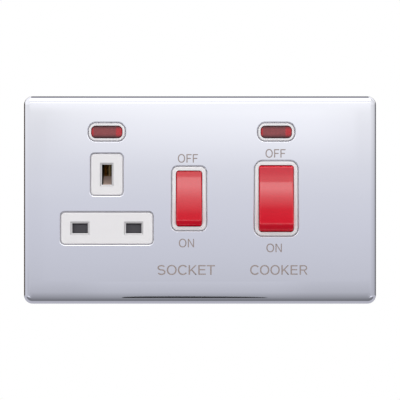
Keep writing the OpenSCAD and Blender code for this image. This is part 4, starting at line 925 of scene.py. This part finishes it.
def screw_steel():
    return surface("screw_steel", (0.60, 0.59, 0.56), (0.72, 0.71, 0.68), (0.26, 0.40), DRAWN,
                   {"Lines": 1800, "Stretch": 0.5}, 0.0012, Metallic=1.0)


def red_lens():
    """Red lens with the dusky lamp behind its middle, a little left: beyond the lamp's end the colour
    clears to a bright red, and towards the upper and lower rims it darkens."""
    material = surface("red_lens", (0.21, 0.040, 0.046), (0.28, 0.055, 0.06), (0.12, 0.2), GRAIN,
                       {"Grain": 2600, "Cloud": 700}, 0.003, IOR=1.5)
    tree = material.node_tree
    x, _, z = axes_of(tree)
    lamps = [apart(tree, x, middle - LAMP_LEFT) for middle in (SOCKET_X, COOKER_X)]
    blend_by(material, smooth(tree, math_node(tree, "MINIMUM", *lamps), *LAMP_END), CLEAR_SHADE)
    blend_by(material, smooth(tree, apart(tree, z, RIM_MIDDLE_Z), *RIM_DARK), RIM_SHADE)
    return material


def lamp_glass():
    return surface("lamp_glass", (0.92, 0.90, 0.88), (0.96, 0.94, 0.92), (0.04, 0.07), GRAIN,
                   {"Grain": 1500, "Cloud": 200}, 0.0003, IOR=1.5, Transmission_Weight=0.85)


def resistor_ceramic():
    return surface("resistor_ceramic", (0.62, 0.47, 0.30), (0.70, 0.55, 0.37), (0.35, 0.5), GRAIN,
                   {"Grain": 2600, "Cloud": 300}, 0.003, IOR=1.5)


def tinned_wire():
    return surface("tinned_wire", (0.74, 0.74, 0.74), (0.84, 0.84, 0.84), (0.22, 0.34), DRAWN,
                   {"Lines": 2600, "Stretch": 0.4}, 0.0006, Metallic=1.0)


def letter_ink():
    return surface("letter_ink", (0.30, 0.245, 0.235), (0.35, 0.29, 0.275), (0.55, 0.7), GRAIN,
                   {"Grain": 5000, "Cloud": 400}, 0.0006, IOR=1.45)


FINISHES = {
    "plate_steel": polished_steel, "white_moulding": white_moulding, "housing_plastic": housing_plastic,
    "red_rocker": red_rocker, "plunger_nylon": plunger_nylon, "spring_steel": spring_steel,
    "brass": brass, "contact_silver": contact_silver, "shutter_plastic": shutter_plastic,
    "screw_steel": screw_steel, "red_lens": red_lens, "lamp_glass": lamp_glass,
    "resistor_ceramic": resistor_ceramic, "tinned_wire": tinned_wire,
}


def dress_nodes(finishes):
    """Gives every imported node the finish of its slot."""
    for node in frame["nodes"].values():
        for slot in node.material_slots:
            slot.material = finishes[slot.material.name.split(".")[0]]


# Studio

FLOOR_Z = -0.12
FLOOR_REACH = 8.0
FLOOR_GREY = (0.70, 0.70, 0.70, 1)
FLOOR_ROUGH = 0.6
# The distances from the middle between which the floor turns to the white of the background
FLOOR_FADE = (0.2, 0.36)
WORLD_FILL = 0.50
CAMERA_FRONT = 0.8
CAMERA_CLIP = 0.05
PHOTO_SPAN = 0.16524
SENSOR = 36.0
SOFTBOX_SIZE = (1.6, 1.0)
SOFTBOX_POWER = 12
SOFTBOX_PLACE = (0, -0.6, 1.3)
SOFTBOX_TILT = -20 * DEG

# The front card: its radius, how far it bends round, and its rows and columns of points
CARD_R = 1.6
CARD_HALF_A = 112
CARD_ROWS = 33
CARD_COLUMNS = 61
# Light of the front card by elevation in degrees: what the polished plate and the rockers mirror
CARD_LIGHT = (
    (-4.3, 0.555), (-2.8, 0.615), (0, 0.705), (1.4, 0.775), (2.8, 0.905), (3.6, 0.965), (5.5, 1.02),
    (6.6, 1.06), (6.9, 2.3), (11, 2.3), (17, 1.1), (25, 0.25), (34, 0.12), (40, 1.1), (42, 1.35), (60, 1.35),
)
# The same away from the middle, and the angles aside between which it takes over
CORNER_LIGHT = CARD_LIGHT[:8] + ((6.9, 1.05), (60, 1.05))
CORNER_ASIDE = (14.0, 20.0)
# How the card fades towards its sides, by the angle from straight ahead, right positive
CARD_SIDES = (
    (-112, 1.05), (-70, 1.0), (-30, 0.96), (-8.5, 0.97), (-7, 0.99), (-5, 1.0), (8.5, 1.0), (25, 0.97),
    (52, 0.92), (69, 0.87), (87, 0.79), (112, 0.69),
)
# The same above the middle, added to one, and the elevations between which it comes and goes
UPPER_SIDES = (
    (-9, -0.09), (-7, -0.10), (-5.6, -0.035), (-2.7, 0.01), (0, 0.03), (1.8, 0.04), (5, 0.05), (6.5, 0.005),
    (8, -0.05), (112, -0.05),
)
UPPER_COMES = (0.5, 3.5)
UPPER_GOES = (6.6, 4.6)
# The light's tint, and the elevations between which the cool one turns to the plain one
COOL = (0.967, 0.985, 1.05)
PLAIN = (0.957, 0.965, 0.955)
TINT_RISE = (-2.0, 5.0)

# The low board in front and the mats from its foot towards the object, with their light by height
BOARD_Y = FACE_Y - 0.7
BOARD_TOP_Z = -0.066
BOARD_FOOT_Z = -0.119
MAT_Y = -0.15
MAT_END_Y = FACE_Y - 0.011
BOARD_LIGHT = (
    (BOARD_FOOT_Z, 0.27), (-0.107, 0.28), (-0.1015, 0.355), (-0.097, 0.42), (-0.092, 0.485),
    (BOARD_TOP_Z, 0.565),
)
# The same towards the object: by the distance in front of the wall
BOARD_NEAR = ((-0.7, 1.0), (-0.2, 0.95), (-0.13, 0.86), (-0.105, 1.02), (-0.08, 0.76), (-0.03, 0.70))
# A little more light near the middle: its middle x, its edge and how much
GLEAM_X = -0.005
GLEAM_ASIDE = (0.10, 0.06)
GLEAM = 0.07
# The boards with that light: the y and z of two edges, the half width, and the least light by the
# distance aside
LIT_BOARDS = {
    "low_board": ((BOARD_Y, BOARD_TOP_Z), (BOARD_Y, BOARD_FOOT_Z), 1.2, ((0.26, 0.0), (0.46, 0.44))),
    "low_mat": ((BOARD_Y, BOARD_FOOT_Z), (MAT_Y, BOARD_FOOT_Z), 1.2,
                ((0.10, 0.0), (0.17, 0.85), (0.42, 0.85), (0.55, 0.5))),
    "near_mat": ((MAT_Y, BOARD_FOOT_Z), (MAT_END_Y, BOARD_FOOT_Z), 1.6, ((0.2, 0.0), (0.35, 0.5))),
}
# Flat grey boards: the y and z of two edges, the x of both ends and the colour
FLAGS = {
    "left_flag": ((0.5, -0.11), (0.5, 0.28), -1.4, -0.08, (0.085, 0.072, 0.06)),
    "right_flag": ((0.5, -0.11), (0.5, 0.28), 0.08, 1.4, (0.16, 0.16, 0.17)),
    "top_flag": ((0.15, 1.2), (0.81, 1.2), -0.4, 0.4, (0.42, 0.42, 0.44)),
    "back_flag": ((0.81, 1.2), (0.81, 0.1), -0.25, 0.25, (0.20, 0.20, 0.22)),
    "under_board": ((MAT_END_Y, BOARD_FOOT_Z), (0.6, BOARD_FOOT_Z), -1.2, 1.2, (0.48, 0.48, 0.52)),
}
# The dark spot in front of the low board: its middle, half sizes, lean, light and points
SPOT_X = -0.004
SPOT_Z = -0.1051
SPOT_GAP = 0.01
SPOT_HALF_W = 0.056
SPOT_HALF_H = 0.0038
SPOT_LEAN = 0.01
SPOT_LIGHT = 0.02
SPOT_CORE = 0.01
SPOT_STEPS = 48


def stage_mesh(name, points, material):
    """A stage surface from a grid of points."""
    flat, _, triangles = grid_patch(points, points)
    mesh = bpy.data.meshes.new(name)
    mesh.from_pydata(flat, [], triangles)
    mesh.materials.append(material)
    mesh.update()
    thing = add_object(name, mesh)
    return thing


def glow(name, colour):
    """A plain emission."""
    material = bpy.data.materials.new(name)
    tree = bare_tree(material)
    light = add_node(tree, "ShaderNodeEmission", {"Color": (*colour, 1), "Strength": 1.0})
    add_node(tree, "ShaderNodeOutputMaterial", {"Surface": light.outputs["Emission"]})
    return material, tree, light


def level_by(tree, value, stops):
    """A level that follows (place, level) stops along a value."""
    low, high = stops[0][0], stops[-1][0]
    least = min(0.0, *(level for _, level in stops))
    top = max(level for _, level in stops) - least
    shades = add_node(tree, "ShaderNodeValToRGB", {"Fac": slope(tree, value, low, high)})
    points = shades.color_ramp.elements
    for i, (where, level) in enumerate(stops):
        at = (where - low) / (high - low)
        point = points[i] if i < 2 else points.new(at)
        point.position = at
        point.color = ((level - least) / top,) * 3 + (1,)
    return math_node(tree, "MULTIPLY_ADD", shades.outputs["Color"], top, least)


def card_material():
    """The front card's light: CARD_LIGHT by the elevation at which the plate's middle sees it, times
    CARD_SIDES by the angle from straight ahead, times one plus UPPER_SIDES in the part that the plate's
    upper half mirrors."""
    material, tree, light = glow("front_card", COOL)
    x, y, z = axes_of(tree)
    rise = math_node(tree, "DEGREES", math_node(tree, "ARCTANGENT", math_node(tree, "DIVIDE", z, CARD_R)))
    turn = math_node(tree, "DEGREES", math_node(tree, "ARCTAN2", x, math_node(tree, "MULTIPLY", y, -1.0)))
    upper = math_node(tree, "MULTIPLY", smooth(tree, rise, *UPPER_COMES), smooth(tree, rise, *UPPER_GOES))
    shade = math_node(tree, "MULTIPLY_ADD", upper, level_by(tree, turn, UPPER_SIDES), 1.0)
    aside = smooth(tree, math_node(tree, "ABSOLUTE", turn), *CORNER_ASIDE)
    bands = [level_by(tree, rise, stops) for stops in (CARD_LIGHT, CORNER_LIGHT)]
    band = add_node(tree, "ShaderNodeMix", {"Factor": aside, 2: bands[0], 3: bands[1]}).outputs[0]
    level = math_node(tree, "MULTIPLY", band, level_by(tree, turn, CARD_SIDES))
    tree.links.new(math_node(tree, "MULTIPLY", level, shade), light.inputs["Strength"])
    tint = mix_colours(tree, smooth(tree, rise, *TINT_RISE), (*COOL, 1), (*PLAIN, 1))
    tree.links.new(tint, light.inputs["Color"])
    return material


def board_material(name, sides):
    """The light of the low board and its mats: BOARD_LIGHT by height times BOARD_NEAR by the distance in
    front of the wall, a little brighter near the middle, and no less than the level that sides gives by
    the distance aside."""
    material, tree, light = glow(name, COOL)
    x, y, z = axes_of(tree)
    lift = math_node(tree, "MULTIPLY_ADD", smooth(tree, apart(tree, x, GLEAM_X), *GLEAM_ASIDE), GLEAM, 1.0)
    lift = math_node(tree, "MULTIPLY", lift, level_by(tree, y, BOARD_NEAR))
    level = math_node(tree, "MULTIPLY", level_by(tree, z, BOARD_LIGHT), lift)
    least = level_by(tree, math_node(tree, "ABSOLUTE", x), sides)
    tree.links.new(math_node(tree, "MAXIMUM", level, least), light.inputs["Strength"])
    return material


def front_card():
    """A card bent round the object in front of it, from the floor to well above it: x is the radius
    times the sine of the angle aside, y less the radius times its cosine, and z the radius times the
    tangent of the elevation."""
    a = np.linspace(-CARD_HALF_A, CARD_HALF_A, CARD_COLUMNS)[None] * DEG
    rise = np.linspace(CARD_LIGHT[0][0], CARD_LIGHT[-1][0], CARD_ROWS)[:, None] * DEG
    points = CARD_R * np.stack(np.broadcast_arrays(np.sin(a), -np.cos(a), np.tan(rise)), -1)
    card = stage_mesh("front_card", points, card_material())
    card.visible_camera = False


def mirror_board(name, points, material):
    """A stage surface that only mirrors see."""
    board = stage_mesh(name, points, material)
    board.visible_camera = False
    board.visible_diffuse = False
    board.visible_transmission = False
    board.visible_shadow = False


def flat_board(low, high, x0, x1):
    """The corners of a flat board between two edges, each given by its y and z."""
    return np.array([[(x, *edge) for x in (x0, x1)] for edge in (low, high)])


def dark_spot():
    """A flat oval with blunt ends, which leans a little: x follows the cosine, and z the square root of
    the sine."""
    a = np.linspace(0, 2 * math.pi, SPOT_STEPS + 1)[None]
    r = np.array([SPOT_CORE, 1])[:, None]
    x = SPOT_HALF_W * r * np.cos(a) + SPOT_X
    z = SPOT_HALF_H * r * np.sign(np.sin(a)) * np.abs(np.sin(a)) ** 0.5 + SPOT_Z - SPOT_LEAN * x
    return np.stack(np.broadcast_arrays(x, BOARD_Y + SPOT_GAP, z), -1)


def boards():
    """Boards that only mirrors see: behind and above the object, where they draw the dark outline of the
    rolled edge, under it, low in front, and the small dark one that lies in the lower edge."""
    for name, (low, high, x0, x1, grey) in FLAGS.items():
        mirror_board(name, flat_board(low, high, x0, x1), glow(name, grey)[0])
    for name, (low, high, half_w, sides) in LIT_BOARDS.items():
        mirror_board(name, flat_board(low, high, -half_w, half_w), board_material(name, sides))
    mirror_board("dark_spot", dark_spot(), glow("dark_spot", (SPOT_LIGHT,) * 3)[0])


def seen_directly(tree):
    """1 for what the camera sees, also in a mirror or through glass, and 0 for light on the things."""
    rays = add_node(tree, "ShaderNodeLightPath").outputs
    seen = math_node(tree, "MAXIMUM", rays["Is Camera Ray"], rays["Is Glossy Ray"])
    return math_node(tree, "MAXIMUM", seen, rays["Is Transmission Ray"])


def pale_floor():
    """A pale floor that turns to the white of the background away from the object."""
    material, tree, shader, output = blank_material("pale_floor")
    shader.inputs["Base Color"].default_value = FLOOR_GREY
    shader.inputs["Roughness"].default_value = FLOOR_ROUGH
    far = add_node(tree, "ShaderNodeVectorMath", {0: place_on(tree)}, operation="LENGTH").outputs["Value"]
    share = math_node(tree, "MULTIPLY", seen_directly(tree), smooth(tree, far, *FLOOR_FADE))
    white = add_node(tree, "ShaderNodeEmission", {"Strength": 1.0})
    mix = add_node(tree, "ShaderNodeMixShader", {0: share, 1: shader.outputs["BSDF"],
                                                 2: white.outputs["Emission"]})
    tree.links.new(mix.outputs[0], output.inputs["Surface"])
    edges = [(y, FLOOR_Z) for y in (-FLOOR_REACH, FLOOR_REACH)]
    stage_mesh("floor", flat_board(*edges, -FLOOR_REACH, FLOOR_REACH), material)


def white_world():
    """A world that is white behind the object and in reflections, and dimmer as a fill light."""
    world = bpy.data.worlds.new("studio")
    bpy.context.scene.world = world
    tree = bare_tree(world)
    level = slope(tree, seen_directly(tree), 0.0, 1.0, WORLD_FILL, 1.0)
    back = add_node(tree, "ShaderNodeBackground", {"Color": (1, 1, 1, 1), "Strength": level})
    add_node(tree, "ShaderNodeOutputWorld", {"Surface": back.outputs[0]})


def softbox():
    """A soft light over the object and a little in front of it."""
    lamp = bpy.data.lights.new("overhead_softbox", "AREA")
    lamp.shape = "RECTANGLE"
    lamp.size, lamp.size_y = SOFTBOX_SIZE
    lamp.energy = SOFTBOX_POWER
    thing = add_object("overhead_softbox", lamp)
    thing.location = SOFTBOX_PLACE
    thing.rotation_euler = (SOFTBOX_TILT, 0, 0)


def photo_camera():
    """Square to the plate at its middle, framed as the photograph is."""
    lens = bpy.data.cameras.new("photo_camera")
    lens.sensor_width = SENSOR
    lens.lens = SENSOR * CAMERA_FRONT / PHOTO_SPAN
    lens.clip_start = CAMERA_CLIP
    thing = add_object("photo_camera", lens)
    thing.location = (0, FACE_Y - CAMERA_FRONT, 0)
    thing.rotation_euler = (math.pi / 2, 0, 0)
    bpy.context.scene.camera = thing


bpy.context.scene.view_settings.view_transform = "Standard"
finishes = {name: make() for name, make in FINISHES.items()}
dress_nodes(finishes)
front_plate(finishes["plate_steel"])
rocker("socket_rocker_shell", "socket_rocker", "socket_switch", SOCKET_DISH, [0], finishes["red_rocker"])
rocker("cooker_rocker_shell", "cooker_rocker", "cooker_switch", COOKER_DISH, [-1, 1], finishes["red_rocker"])
shutter_coil(finishes["spring_steel"])
ink = letter_ink()
for name, text, *place in WORDS:
    word(name, text, *(size * MM for size in place), ink)
pale_floor()
white_world()
front_card()
boards()
softbox()
photo_camera()
